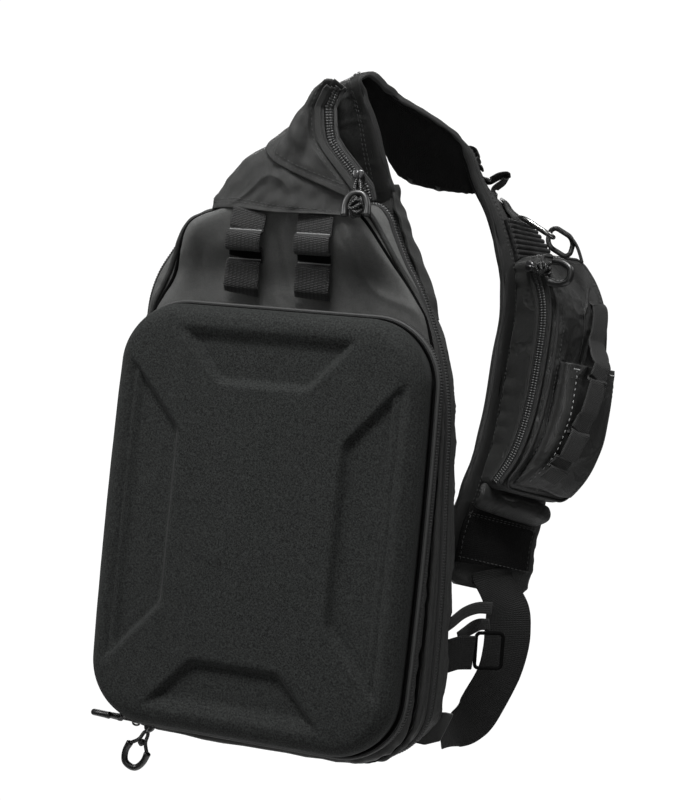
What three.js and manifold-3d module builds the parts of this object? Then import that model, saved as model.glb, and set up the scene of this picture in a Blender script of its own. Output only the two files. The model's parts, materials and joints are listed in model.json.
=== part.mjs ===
// Fishing tackle sling bag: a moulded front shell zipped to a fabric body that narrows to a peak,
// a padded shoulder strap with its own pocket, and webbing that joins the strap to the bag's corner.
// Millimetres, +X right, +Y towards the wearer, +Z up. The bag hangs from the crown of its strap,
// and the origin is the middle of the strap's inner face there.
import * as THREE from 'three';
import { mergeVertices } from 'three/addons/utils/BufferGeometryUtils.js';
import Module from 'manifold-3d';

const wasm = await Module();
wasm.setup();

// Driving dimensions
const GAP = 0.3; // between pieces that touch
const CLOTH = 2; // fabric walls with their lining
const WEBBING = 1.6;

const SHELL = {
  width: 239, height: 308, corner: 47, bow: 3, centreHeight: 160, lean: 6, // lean in degrees from upright
  toBack: 65, // from the middle of its rim to the back panel
  rise: 24, wall: 3.5, recess: 4.5,
};
const SHELL_TAPE = { depth: 14, wall: 1.8 };
const BODY = { height: 390, halfWidth: 119.5, corner: 42, backRound: 10, backInset: 9, wall: CLOTH };
const MAIN_ZIP = { toBack: 29, lean: 3.1, tape: 10, wall: 1.8 };
const FRONT_PANEL = { toBack: 47, rise: 9, easing: 20, start: 20 };
const YOKE = { toBack: 50, hem: 381, foldLeft: 430, foldRight: 392, peak: 474, wall: CLOTH };
const PEAK_ZIP = { width: 13, wall: WEBBING };
const STRAP = { width: 82, thickness: 10, edge: 4, reach: 132, sway: 56, crown: 480 };
const MOLLE = { width: 27, wall: WEBBING, seat: 3.2, loop: 5 };
const ELASTIC = { width: 56, height: 5, ribs: 8, ribDepth: 1 };
const POCKET = { length: 175, width: 68, depth: 42, corner: 9, wall: CLOTH, inset: 5, seat: 0.8 };
const POCKET_TAPE = { width: 11, wall: 1.2, height: 30 };
const SMALL_POCKET = { width: 60, depth: 14, wall: CLOTH };
const POCKET_WEBBING = { width: 20, wall: WEBBING };
const RING_WIRE = 3.4;
const D_RING = { width: 26, reach: 30, corner: 9 };
const RING_TAB = { width: 26, wall: 2, lift: 1.6 };
const TOP_LOOP = { width: 16, reach: 6, span: 9, lift: 0.3 };
const HOOK_LOOP = { width: 16, reach: 15, span: 10, lift: -0.4 };
const END_FLAP = { inset: 8, wall: 3, lift: 10, fall: 8 };
const END_PATCH = { inset: 14, wall: 3, lift: 1.5 };
const SIDE_WEBBING = { width: 38, wall: WEBBING, fromEdge: 22 };
const STABILISER = { band: 25, ribbon: 9, wall: WEBBING };
const PULL = { cord: 2.3, grip: 4.6, width: 22, height: 27 };
const SLIDER = { length: 7, width: 8, height: 4, ahead: 3 };

// Small tools for points, rings of points and closed skins
const vec = (x, y, z) => new THREE.Vector3(x, y, z);
const rad = THREE.MathUtils.degToRad;
const lerp = THREE.MathUtils.lerp;
const clamp = THREE.MathUtils.clamp;
const along = (point, direction, distance) => point.clone().addScaledVector(direction, distance);
const steps = (count) => Array.from({ length: count + 1 }, (_, i) => i / count);
const soft = (t) => t * t * (3 - 2 * t);

// A value read from a table at x, straight between its rows
function read(table, key, x, column) {
  const last = table.length - 1;
  const forward = table[last][key] > table[0][key];
  const row = table.findIndex((r) => (forward ? r[key] >= x : r[key] <= x));
  if (row === 0) return table[0][column];
  if (row < 0) return table[last][column];
  const before = table[row - 1];
  const share = (x - before[key]) / (table[row][key] - before[key]);
  return lerp(before[column], table[row][column], share);
}

// A closed solid from a chain of rings of equal length: walls between them and a cap at each end, or,
// as a loop, walls all the way round. A cap is a fan from its ring's middle or, where the ring is a thin
// strip that runs along one side and back along the other, a ladder between the two.
function skin(rings, { loop = false, ladder = false } = {}) {
  const size = rings[0].length;
  const points = rings.flat();
  const faces = [];
  const wall = (a, b) => {
    for (let i = 0; i < size; i += 1) {
      const j = (i + 1) % size;
      faces.push([a + i, a + j, b + j], [a + i, b + j, b + i]);
    }
  };
  for (let i = 0; i + 1 < rings.length; i += 1) wall(i * size, (i + 1) * size);
  const end = (rings.length - 1) * size;
  const fan = (start, ring, turned) => {
    const middle = points.length;
    points.push(ring.reduce((sum, p) => sum.add(p), vec(0, 0, 0)).divideScalar(size));
    for (let i = 0; i < size; i += 1) {
      const [a, b] = turned ? [(i + 1) % size, i] : [i, (i + 1) % size];
      faces.push([start + a, start + b, middle]);
    }
  };
  const rungs = (start, turned) => {
    for (let i = 0; i + 1 < size / 2; i += 1) {
      const [a, b, c, d] = [i, i + 1, size - 2 - i, size - 1 - i].map((k) => start + k);
      faces.push(...(turned ? [[a, c, b], [a, d, c]] : [[a, b, c], [a, c, d]]));
    }
  };
  if (loop) {
    wall(end, 0);
  } else if (ladder) {
    rungs(0, true);
    rungs(end, false);
  } else {
    fan(0, rings[0], true);
    fan(end, rings[rings.length - 1], false);
  }
  const volume = faces.reduce((sum, [a, b, c]) =>
    sum + points[a].dot(points[b].clone().cross(points[c])), 0);
  const turned = volume > 0 ? faces : faces.map(([a, b, c]) => [a, c, b]);
  const geometry = new THREE.BufferGeometry().setFromPoints(points);
  geometry.setIndex(turned.flat());
  return tidy(geometry);
}

// Shared vertices merged, and triangles that have no area left out
function tidy(geometry) {
  geometry.deleteAttribute('normal');
  geometry.deleteAttribute('uv');
  const merged = mergeVertices(geometry, 1e-4);
  const index = merged.getIndex().array;
  const kept = [];
  for (let i = 0; i < index.length; i += 3) {
    const [a, b, c] = [index[i], index[i + 1], index[i + 2]];
    if (a !== b && b !== c && c !== a) kept.push(a, b, c);
  }
  merged.setIndex(kept);
  merged.computeVertexNormals();
  return merged;
}

function manifold(geometry) {
  return new wasm.Manifold(new wasm.Mesh({
    numProp: 3,
    vertProperties: new Float32Array(geometry.getAttribute('position').array),
    triVerts: new Uint32Array(geometry.getIndex().array),
  }));
}

function geometryOf(body) {
  const mesh = body.getMesh();
  const geometry = new THREE.BufferGeometry();
  geometry.setAttribute('position', new THREE.BufferAttribute(new Float32Array(mesh.vertProperties), 3));
  geometry.setIndex([...mesh.triVerts]);
  return tidy(geometry);
}

// A cup: rings from its lip to its floor, outside and inside
const cup = (outside, inside) => skin([...[...inside].reverse(), ...outside]);

// A ribbon: for each station its middle, the direction of its width and that of its thickness
function ribbon(stations, width, thickness) {
  return skin(stations.map(({ at, across, out, share = 1 }) => [[-1, -1], [1, -1], [1, 1], [-1, 1]]
    .map(([i, j]) => at.clone().addScaledVector(across, i * share * width / 2)
      .addScaledVector(out, j * thickness / 2))));
}

// A round wire or cord along a curve, open or closed on itself
function wire(points, thickness, { closed = false, density = 1.2 } = {}) {
  const curve = new THREE.CatmullRomCurve3(points, closed, 'centripetal');
  const sides = 8;
  const section = new THREE.Shape(steps(sides).slice(0, sides).map((t) =>
    new THREE.Vector2(Math.cos(2 * Math.PI * t), Math.sin(2 * Math.PI * t)).multiplyScalar(thickness / 2)));
  if (!closed) {
    const count = clamp(Math.round(curve.getLength() / (density * thickness)), 4, 80);
    const tube = new THREE.ExtrudeGeometry(section, { steps: count, extrudePath: curve, bevelEnabled: false });
    return tidy(tube);
  }
  const count = Math.round(curve.getLength() / (density * thickness));
  const frames = curve.computeFrenetFrames(count, true);
  return skin(steps(count).slice(0, count).map((t, i) => section.getPoints().slice(0, sides).map((p) =>
    curve.getPointAt(t).addScaledVector(frames.normals[i], p.x).addScaledVector(frames.binormals[i], p.y))),
  { loop: true });
}

// A rounded rectangle, anticlockwise from its bottom left, with extra points along its sides
function roundedRectangle(width, height, corner, arc = 5, side = 3) {
  const points = [];
  const centres = [[1, -1], [1, 1], [-1, 1], [-1, -1]];
  centres.forEach(([i, j], quarter) => {
    steps(arc).forEach((t) => {
      const angle = rad(90 * (quarter - 1 + t));
      points.push([i * (width / 2 - corner) + corner * Math.cos(angle),
        j * (height / 2 - corner) + corner * Math.sin(angle)]);
    });
    const [from, next] = [points[points.length - 1], centres[(quarter + 1) % 4]];
    const angle = rad(90 * quarter);
    const to = [next[0] * (width / 2 - corner) + corner * Math.cos(angle),
      next[1] * (height / 2 - corner) + corner * Math.sin(angle)];
    steps(side).slice(1, side).forEach((t) => points.push([lerp(from[0], to[0], t), lerp(from[1], to[1], t)]));
  });
  return points;
}

// The shell's own plane: across, up along its lean, and forwards out of its rim
const lean = rad(SHELL.lean);
const shellOut = vec(0, -Math.cos(lean), Math.sin(lean));
const shellUp = vec(0, Math.sin(lean), Math.cos(lean));
const shellCentre = vec(0, -SHELL.toBack, SHELL.centreHeight);
const onShell = (across, up, out) => shellCentre.clone().setX(across)
  .addScaledVector(shellUp, up).addScaledVector(shellOut, out);

// Rings of the shell's dome: how far in from the rim's outline, and how far forwards,
// both as shares of the rise
const SHELL_DOME = [
  { inset: 0, out: 0 },
  { inset: 0, out: 0.33 },
  { inset: 0.1, out: 0.6 },
  { inset: 0.35, out: 0.84 },
  { inset: 0.7, out: 0.96 },
  { inset: 1.1, out: 1 },
];

function shellRing(inset, out) {
  const bow = (x, z) => 2 * SHELL.bow * x / SHELL.width * (1 - (2 * z / SHELL.height) ** 2);
  return roundedRectangle(SHELL.width - 2 * inset, SHELL.height - 2 * inset, Math.max(SHELL.corner - inset, 2))
    .map(([x, z]) => onShell(x + bow(x, z), z, out));
}

// The four recesses round the raised cross: the corners of each one's floor, as shares of the
// shell's half width and half height, and a bevel round it
const RECESSES = [
  { inner: 0.54, innerHalf: 0.4, outer: 0.9, outerHalf: 0.72, upright: true, sign: 1 },
  { inner: 0.54, innerHalf: 0.4, outer: 0.9, outerHalf: 0.72, upright: true, sign: -1 },
  { inner: 0.655, innerHalf: 0.27, outer: 0.89, outerHalf: 0.56, upright: false, sign: 1 },
  { inner: 0.655, innerHalf: 0.27, outer: 0.89, outerHalf: 0.56, upright: false, sign: -1 },
];
const BEVEL = 4;

function recess({ inner, innerHalf, outer, outerHalf, upright, sign }, depth, grow) {
  const [main, cross] = upright ? [SHELL.width / 2, SHELL.height / 2] : [SHELL.height / 2, SHELL.width / 2];
  const floor = SHELL.rise - depth;
  const ring = (spread, out) => [
    [sign * (inner * main - spread), -innerHalf * cross - spread],
    [sign * (outer * main + spread), -outerHalf * cross - spread],
    [sign * (outer * main + spread), outerHalf * cross + spread],
    [sign * (inner * main - spread), innerHalf * cross + spread],
  ].map(([a, b]) => (upright ? onShell(a, b, out) : onShell(b, a, out)));
  const over = 3;
  return skin([ring(grow, floor), ring(grow + BEVEL, floor + depth), ring(grow + BEVEL, floor + depth + over)]);
}

function frontShell() {
  const outside = SHELL_DOME.map(({ inset, out }) => shellRing(inset * SHELL.rise, out * SHELL.rise));
  const below = 1;
  const inner = SHELL.rise - SHELL.wall;
  const inside = SHELL_DOME.map(({ inset, out }) => shellRing(SHELL.wall + inset * inner, out * inner));
  const mouth = shellRing(SHELL.wall, -below);
  let body = manifold(skin(outside));
  let hollow = manifold(skin([mouth, ...inside]));
  RECESSES.forEach((row) => {
    body = body.subtract(manifold(recess(row, SHELL.recess, 0)));
    hollow = hollow.subtract(manifold(recess(row, SHELL.recess + SHELL.wall, SHELL.wall / 2)));
  });
  return geometryOf(body.subtract(hollow));
}

// A flat tape standing on edge round the shell's rim, from the rim back to the body
function shellTape() {
  const [from, to] = [-GAP, GAP - SHELL_TAPE.depth];
  const [outer, inner] = [1, 1 + SHELL_TAPE.wall];
  const rings = [shellRing(outer, from), shellRing(outer, to), shellRing(inner, to), shellRing(inner, from)];
  return skin(rings, { loop: true });
}

// The body's outline seen from the front, above its round bottom corners: its left and right sides
// at the back and at the front panel, as shares of the half width, against shares of the height
const SIDES = [
  { up: 0.12, left: -1, right: 1.06, frontLeft: -0.985, frontRight: 0.99 },
  { up: 0.3, left: -1, right: 1.065, frontLeft: -0.995, frontRight: 1.005 },
  { up: 0.5, left: -1, right: 1.035, frontLeft: -0.995, frontRight: 1 },
  { up: 0.64, left: -1, right: 1.01, frontLeft: -0.985, frontRight: 0.98 },
  { up: 0.73, left: -1, right: 0.955, frontLeft: -0.94, frontRight: 0.925 },
  { up: 0.8, left: -0.995, right: 0.865, frontLeft: -0.84, frontRight: 0.84 },
  { up: 0.85, left: -0.95, right: 0.79, frontLeft: -0.725, frontRight: 0.75 },
  { up: 0.9, left: -0.85, right: 0.69, frontLeft: -0.68, frontRight: 0.62 },
  { up: 0.95, left: -0.75, right: 0.61, frontLeft: -0.6, frontRight: 0.48 },
  { up: 0.98, left: -0.53, right: 0.57, frontLeft: -0.4, frontRight: 0.37 },
  { up: 1, left: -0.38, right: 0.5, frontLeft: -0.29, frontRight: 0.28 },
];
const TOP_COLUMNS = 5;
const CORNER_STEPS = 5;

// The outline as points across and up. front runs from 0 at the back panel to 1 at the front panel.
function bodyOutline(front, inset) {
  const half = BODY.halfWidth;
  const corner = BODY.corner;
  const sideAt = (row, side, frontSide) => lerp(row[side], row[frontSide], front) * half;
  const outline = [];
  steps(CORNER_STEPS).forEach((t) => {
    const angle = rad(-90 + 90 * t);
    outline.push([sideAt(SIDES[0], 'right', 'frontRight') - corner + corner * Math.cos(angle),
      corner + corner * Math.sin(angle)]);
  });
  SIDES.slice(1).forEach((row) => outline.push([sideAt(row, 'right', 'frontRight'), row.up * BODY.height]));
  const top = SIDES[SIDES.length - 1];
  const [topRight, topLeft] = [sideAt(top, 'right', 'frontRight'), sideAt(top, 'left', 'frontLeft')];
  steps(TOP_COLUMNS).slice(1, TOP_COLUMNS).forEach((t) => outline.push([lerp(topRight, topLeft, t), BODY.height]));
  [...SIDES.slice(1)].reverse().forEach((row) =>
    outline.push([sideAt(row, 'left', 'frontLeft'), row.up * BODY.height]));
  steps(CORNER_STEPS).forEach((t) => {
    const angle = rad(180 + 90 * t);
    outline.push([sideAt(SIDES[0], 'left', 'frontLeft') + corner + corner * Math.cos(angle),
      corner + corner * Math.sin(angle)]);
  });
  const size = outline.length;
  return outline.map(([x, z], i) => {
    const [ax, az] = outline[(i + size - 1) % size];
    const [bx, bz] = outline[(i + 1) % size];
    const length = Math.hypot(bx - ax, bz - az);
    return [x - inset * (bz - az) / length, z + inset * (bx - ax) / length];
  });
}

// Depths at a height: the main zip's middle, the wall behind the front shell and the panel above it
const zipDepth = (z) => -MAIN_ZIP.toBack + (z - SHELL.centreHeight) * Math.tan(rad(MAIN_ZIP.lean));
const dividerDepth = (z) => -SHELL.toBack + (SHELL_TAPE.depth + GAP) / Math.cos(lean)
  + (z - SHELL.centreHeight) * Math.tan(lean);
const shellTop = SHELL.centreHeight + SHELL.height / 2 * Math.cos(lean);

function frontDepth(z) {
  const share = clamp((z - shellTop - FRONT_PANEL.start) / (BODY.height - shellTop), 0, 1);
  const panel = lerp(dividerDepth(shellTop), -FRONT_PANEL.toBack, soft(Math.min(1, share * 2)));
  return z < shellTop ? dividerDepth(z) : panel;
}

// How far the panel above the shell swells forwards, at a height and a share of the way out to its edge
const swell = (z, share) => FRONT_PANEL.rise * (1 - share)
  * clamp((z - shellTop - FRONT_PANEL.start) / FRONT_PANEL.easing, 0, 1);

function shrink(outline, share) {
  const middle = BODY.height / 2;
  return outline.map(([x, z]) => [x * share, middle + (z - middle) * share]);
}

// The front half of the body, from the main zip forwards: side walls, and the wall that the front
// compartment's things lie against, which runs on upwards as the panel above the shell
function bodyFront() {
  const lip = (front, inset) => bodyOutline(front, inset)
    .map(([x, z]) => vec(x, zipDepth(z) - MAIN_ZIP.tape / 2 - GAP, z));
  const wallRing = (front, inset, out) => bodyOutline(front, inset)
    .map(([x, z]) => vec(x, lerp(zipDepth(z) - MAIN_ZIP.tape / 2 - GAP, frontDepth(z) + BODY.wall / 2, out), z));
  const face = (share, back) => shrink(bodyOutline(1, 1), share).map(([x, z]) => {
    return vec(x, frontDepth(z) - swell(z, share) + back, z);
  });
  const shares = [0.9, 0.8, 0.7, 0.61, 0.58];
  const outside = [lip(0.1, 1), wallRing(0.55, 1, 0.6), face(1, 0), ...shares.map((share) => face(share, 0))];
  const wall = BODY.wall;
  const inner = (share) => face(share, wall);
  const inside = [lip(0.1, 1 + wall), wallRing(0.55, 1 + wall, 0.5), inner(0.975), ...shares.map(inner)];
  return cup(outside, inside);
}

function mainTape() {
  const ring = (inset, sign) => bodyOutline(0.05, inset)
    .map(([x, z]) => vec(x, zipDepth(z) + sign * MAIN_ZIP.tape / 2, z));
  const [outer, inner] = [0.6, 0.6 + MAIN_ZIP.wall];
  return skin([ring(outer, -1), ring(outer, 1), ring(inner, 1), ring(inner, -1)], { loop: true });
}

// The back half, from the main zip to the padded back panel at y = 0
function bodyBack() {
  const round = BODY.backRound;
  const ring = (inset, depth) => bodyOutline(0, inset).map(([x, z]) => vec(x, depth(z), z));
  const lip = (z) => zipDepth(z) + MAIN_ZIP.tape / 2 + GAP;
  const wall = BODY.wall;
  const outside = [ring(0, lip), ring(0, () => -round), ring(BODY.backInset * 0.3, () => -round * 0.3),
    ring(BODY.backInset, () => 0)];
  const inside = [ring(wall, lip), ring(wall, () => -round), ring(BODY.backInset, () => -wall * 2)];
  return cup(outside, inside);
}

// The shoulder strap as a padded band. Each row gives its front edge, as shares of how far the strap
// reaches right, sways back and stands high, the share of its width there, and where its width points:
// turn is measured from +X towards +Y, and dip is downwards, both in degrees.
const STRAP_ROWS = [
  { reach: 0.508, sway: -0.19, up: 0.8185, width: 1.4, turn: 180, dip: 0 },
  { reach: 0.497, sway: -0.28, up: 0.84, width: 1.34, turn: 176, dip: 0 },
  { reach: 0.462, sway: -0.43, up: 0.879, width: 1.16, turn: 168, dip: 0 },
  { reach: 0.424, sway: -0.57, up: 0.927, width: 1.02, turn: 156, dip: 2 },
  { reach: 0.375, sway: -0.68, up: 0.966, width: 1, turn: 135, dip: -3 },
  { reach: 0.355, sway: -0.75, up: 0.992, width: 1, turn: 122, dip: 3 },
  { reach: 0.4, sway: -0.68, up: 0.999, width: 1, turn: 114, dip: 16 },
  { reach: 0.46, sway: -0.54, up: 0.984, width: 1, turn: 107, dip: 30 },
  { reach: 0.52, sway: -0.36, up: 0.97, width: 1, turn: 104, dip: 40 },
  { reach: 0.597, sway: -0.18, up: 0.957, width: 1, turn: 101, dip: 39 },
  { reach: 0.676, sway: 0.03, up: 0.942, width: 1, turn: 99, dip: 34 },
  { reach: 0.757, sway: 0.25, up: 0.924, width: 1, turn: 99, dip: 27 },
  { reach: 0.8, sway: 0.43, up: 0.9, width: 1, turn: 99, dip: 18 },
  { reach: 0.843, sway: 0.58, up: 0.86, width: 1, turn: 97, dip: 11 },
  { reach: 0.915, sway: 0.75, up: 0.809, width: 1, turn: 88, dip: 5 },
  { reach: 0.976, sway: 0.89, up: 0.74, width: 1, turn: 76, dip: 2 },
  { reach: 1, sway: 0.965, up: 0.68, width: 1, turn: 71, dip: 4 },
  { reach: 0.973, sway: 1, up: 0.6, width: 1, turn: 68, dip: 7 },
  { reach: 0.945, sway: 0.965, up: 0.514, width: 1, turn: 65, dip: 10 },
  { reach: 0.912, sway: 0.89, up: 0.447, width: 1, turn: 61, dip: 12 },
  { reach: 0.857, sway: 0.785, up: 0.381, width: 1, turn: 55, dip: 13 },
  { reach: 0.815, sway: 0.68, up: 0.335, width: 1, turn: 52, dip: 13 },
  { reach: 0.8, sway: 0.62, up: 0.295, width: 1, turn: 50, dip: 13 },
  { reach: 0.81, sway: 0.64, up: 0.262, width: 0.93, turn: 50, dip: 13 },
  { reach: 0.86, sway: 0.76, up: 0.238, width: 0.72, turn: 50, dip: 13 },
];
const strapEdge = new THREE.CatmullRomCurve3(STRAP_ROWS.map((row) =>
  vec(row.reach * STRAP.reach, row.sway * STRAP.sway, row.up * STRAP.crown)), false, 'centripetal');
const strapCross = new THREE.CatmullRomCurve3(STRAP_ROWS.map((row) =>
  vec(row.width * STRAP.width, row.turn, row.dip)), false, 'centripetal');
const LAST_ROW = STRAP_ROWS.length - 1;

// The strap's frame at a row number, whole or not: its front edge, the way across it, out and along
function strapFrame(row) {
  const at = (r) => {
    const share = clamp(r / LAST_ROW, 0, 1);
    const cross = strapCross.getPoint(share);
    const [turn, dip] = [rad(cross.y), rad(cross.z)];
    const across = vec(Math.cos(turn) * Math.cos(dip), Math.sin(turn) * Math.cos(dip), -Math.sin(dip));
    const edge = strapEdge.getPoint(share);
    return { edge, across, width: cross.x, middle: along(edge, across, cross.x / 2) };
  };
  const here = at(row);
  const delta = 0.3;
  const forward = at(Math.min(row + delta, LAST_ROW)).middle.sub(at(Math.max(row - delta, 0)).middle).normalize();
  const out = forward.clone().cross(here.across).normalize();
  return { ...here, out, forward: here.across.clone().cross(out).normalize() };
}

// A point by row, distance across from the front edge, and height above the strap's middle surface
function onStrap(row, across, out) {
  const frame = strapFrame(row);
  return frame.edge.addScaledVector(frame.across, across).addScaledVector(frame.out, out);
}
const FACE = STRAP.thickness / 2 + GAP;

function shoulderStrap() {
  const half = STRAP.thickness / 2;
  const { edge } = STRAP;
  const rows = steps(66).map((t) => t * LAST_ROW);
  return skin(rows.map((row) => {
    const { width } = strapFrame(row);
    return [[0, -edge / 2], [edge * 2, -half], [width - edge * 2, -half], [width, -edge / 2],
      [width, edge / 2], [width - edge * 2, half], [edge * 2, half], [0, edge / 2]]
      .map(([across, out]) => onStrap(row, across, out));
  }));
}

// The yoke: cloth that wraps from the peak zip round the front and left to the strap's back edge.
// Rows give where the zip runs and where the left side stands, against height, as shares of the
// half width and of the peak's height.
const YOKE_ROWS = [
  { up: 0.79, zip: 0.49, left: -0.65 },
  { up: 0.82, zip: 0.45, left: -0.575 },
  { up: 0.845, zip: 0.425, left: -0.5 },
  { up: 0.875, zip: 0.34, left: -0.42 },
  { up: 0.895, zip: 0.275, left: -0.31 },
  { up: 0.912, zip: 0.235, left: -0.19 },
  { up: 0.93, zip: 0.215, left: -0.09 },
  { up: 0.96, zip: 0.19, left: 0.02 },
  { up: 0.985, zip: 0.21, left: 0.1 },
  { up: 1, zip: 0.25, left: 0.16 },
];
const strapRowAt = (z) => read([...STRAP_ROWS.slice(0, 6)].map((row, i) =>
  ({ up: row.up * STRAP.crown, number: i })), 'up', z, 'number');

// A point on the yoke: round runs from 0 at the zip to 1 at the strap's back edge
function onYoke(round, z, inset) {
  const zip = read(YOKE_ROWS, 'up', z / YOKE.peak, 'zip') * BODY.halfWidth;
  const left = read(YOKE_ROWS, 'up', z / YOKE.peak, 'left') * BODY.halfWidth;
  const row = strapRowAt(z);
  const { width } = strapFrame(row);
  const seat = onStrap(row, width - STRAP.edge * 2, FACE + YOKE.wall / 2);
  const front = vec(zip, -YOKE.toBack, z);
  const curve = new THREE.CatmullRomCurve3([front, vec(lerp(zip, left, 0.55), -YOKE.toBack - 3, z),
    vec(left + 7, -YOKE.toBack * 0.82, z), vec(left, -YOKE.toBack * 0.45, z), seat], false, 'centripetal');
  const at = curve.getPointAt(clamp(round, 0, 1));
  const ahead = curve.getTangentAt(clamp(round, 0, 1));
  const inwards = vec(ahead.y, -ahead.x, 0).normalize();
  return at.addScaledVector(inwards, -inset);
}

function yokePanel(bottom, top, lift) {
  const columns = steps(14);
  const rows = steps(7);
  const side = (inset) => columns.map((round) => rows.map((t) =>
    onYoke(round, lerp(bottom(round), top(round), t), inset)));
  const [outer, inner] = [side(-lift), side(YOKE.wall - lift)];
  return skin(columns.map((_, i) => [...outer[i], ...[...inner[i]].reverse()]), { ladder: true });
}
const foldHeight = (round) => lerp(YOKE.foldRight, YOKE.foldLeft, Math.min(1, round / 0.62));
const yokeLower = () => yokePanel(() => YOKE.hem, (round) => foldHeight(round) - GAP, 1.5);
const yokeUpper = () => yokePanel((round) => foldHeight(round) + GAP, () => YOKE.peak, 0);

// The tape of the peak zip, on the yoke's right edge from its hem to the peak
function peakTape() {
  const stations = steps(16).map((t) => {
    const z = lerp(YOKE.foldRight + GAP, YOKE.peak, t);
    const edge = onYoke(0, z, YOKE.wall / 2);
    const across = onYoke(0.04, z, YOKE.wall / 2).sub(edge).normalize().negate();
    return { at: edge.addScaledVector(across, PEAK_ZIP.width / 2 + GAP + 0.8), across, out: vec(0, -1, 0) };
  });
  stations.forEach((station) => station.out.crossVectors(vec(0, 0, 1), station.across).negate().normalize());
  return ribbon(stations, PEAK_ZIP.width, PEAK_ZIP.wall);
}

// A strip of webbing on the front panel, sewn down at bar tacks, with a raised loop between two of them.
// Rows go down the strip: height as a share of the panel above the shell, and how far it stands off.
const MOLLE_ROWS = [
  { up: 0.87, off: 0 },
  { up: 0.72, off: 0 },
  { up: 0.66, off: 0.9 },
  { up: 0.58, off: 1 },
  { up: 0.52, off: 0.85 },
  { up: 0.49, off: 0 },
  { up: 0.41, off: 0 },
  { up: 0.36, off: 0.8 },
  { up: 0.2, off: 0.7 },
  { up: 0.1, off: 0.1 },
];

// How far the front panel's face stands forwards at a point of its middle
function panelFace(x, z) {
  const edge = read(SIDES, 'up', z / BODY.height, x < 0 ? 'frontLeft' : 'frontRight');
  const middle = BODY.height / 2;
  const share = clamp(Math.max(Math.abs(x / (edge * BODY.halfWidth)), Math.abs(z - middle) / middle), 0.5, 1);
  return frontDepth(z) - swell(z, share);
}

function molleStrip(top, bottom) {
  const span = BODY.height - shellTop;
  const stations = MOLLE_ROWS.map(({ up, off }) => {
    const z = shellTop + up * span;
    const x = lerp(bottom, top, up);
    const seat = GAP + MOLLE.seat + MOLLE.wall / 2;
    const at = vec(x, Math.min(panelFace(x - MOLLE.width / 2, z), panelFace(x + MOLLE.width / 2, z)) - seat
      - off * MOLLE.loop, z);
    return { at, across: vec(1, 0, 0), out: vec(0, -1, 0) };
  });
  stations.forEach((station, i) => {
    const ahead = stations[Math.min(i + 1, stations.length - 1)].at.clone()
      .sub(stations[Math.max(i - 1, 0)].at).normalize();
    station.out = station.across.clone().cross(ahead).normalize();
  });
  return ribbon(stations, MOLLE.width, MOLLE.wall);
}

// Stretches of the strap, as row numbers
const PLACES = {
  topLoop: 11.6, hookLoop: 12.9, clothTab: [13.47, 14.1], ring: 14.1,
  elastic: [14.15, 15.0], pocket: [15.0, 19.72], pocketTape: [15.3, 19.6], smallPocket: [16.95, 19.55],
  webbing: [15.9, 19.35], flap: [19.8, 20.3], patch: [20.45, 22.3],
};

// A strip of webbing or elastic laid on the strap
function strapStrip([from, to], count, width, thickness, out, across = 0.5) {
  return ribbon(steps(count).map((t) => {
    const row = lerp(from, to, t);
    const frame = strapFrame(row);
    return { at: onStrap(row, across * frame.width, out(t)), across: frame.across, out: frame.out };
  }), width, thickness);
}

// Ribbed elastic: raised bars across it, one for each rib
function strapElastic() {
  const [from, to] = PLACES.elastic;
  const { ribs, ribDepth, height } = ELASTIC;
  const stations = steps(ribs * 4).map((t) => {
    const row = lerp(from, to, t);
    const wave = 0.5 - 0.5 * Math.cos(2 * Math.PI * ribs * t);
    return { row, height: height - ribDepth * (1 - wave) };
  });
  return skin(stations.map(({ row, height: top }) => {
    const left = STRAP.width / 2 - ELASTIC.width / 2;
    return [[left, FACE], [left + ELASTIC.width, FACE], [left + ELASTIC.width, FACE + top], [left, FACE + top]]
      .map(([across, out]) => onStrap(row, across, out));
  }));
}

// How deep the pocket is along its length, as shares of its full depth
const POCKET_DEPTHS = [
  { at: 0, share: 0.5 },
  { at: 0.12, share: 0.72 },
  { at: 0.3, share: 0.94 },
  { at: 0.5, share: 1 },
  { at: 0.8, share: 0.92 },
  { at: 1, share: 0.6 },
];

function pocketPoint(along01, across01, height01, wall) {
  const [from, to] = PLACES.pocket;
  const left = (STRAP.width - POCKET.width) / 2 + 1;
  const row = lerp(from, to, along01);
  const depth = read(POCKET_DEPTHS, 'at', along01, 'share') * POCKET.depth - wall;
  return onStrap(row, left + across01 * POCKET.width, FACE + POCKET.seat + depth * height01);
}

// The pocket: a zipped box of cloth, open on the side that lies on the strap
function strapPocket() {
  const { length, wall, inset } = POCKET;
  const ring = (spread, height, thick) => roundedRectangle(POCKET.width - 2 * spread, length - 2 * spread,
    Math.max(POCKET.corner - spread, 1.5), 2, 5)
    .map(([x, z]) => pocketPoint(0.5 - z / length, 0.5 + x / POCKET.width, height, thick));
  const outside = [ring(0, 0, 0), ring(0, 0.45, 0), ring(1, 0.85, 0), ring(inset, 1, 0), ring(inset * 4, 1, 0)];
  const inside = [ring(wall, 0, wall), ring(wall, 0.45, wall), ring(wall + 1, 0.85, wall),
    ring(wall + inset, 1, wall), ring(wall + inset * 4, 1, wall)];
  return cup(outside, inside);
}

// The pocket's zip tape, on the side wall that faces forwards
function pocketTape() {
  const [from, to] = PLACES.pocketTape;
  const left = (STRAP.width - POCKET.width) / 2 + 1;
  return ribbon(steps(18).map((t) => {
    const row = lerp(from, to, t);
    const frame = strapFrame(row);
    const share = (row - PLACES.pocket[0]) / (PLACES.pocket[1] - PLACES.pocket[0]);
    const depth = read(POCKET_DEPTHS, 'at', share, 'share') * POCKET.depth;
    const out = FACE + depth * POCKET_TAPE.height / POCKET.depth;
    return { at: onStrap(row, left - GAP - 0.4 - POCKET_TAPE.wall / 2, out), across: frame.out, out: frame.across };
  }), POCKET_TAPE.width, POCKET_TAPE.wall);
}

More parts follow.
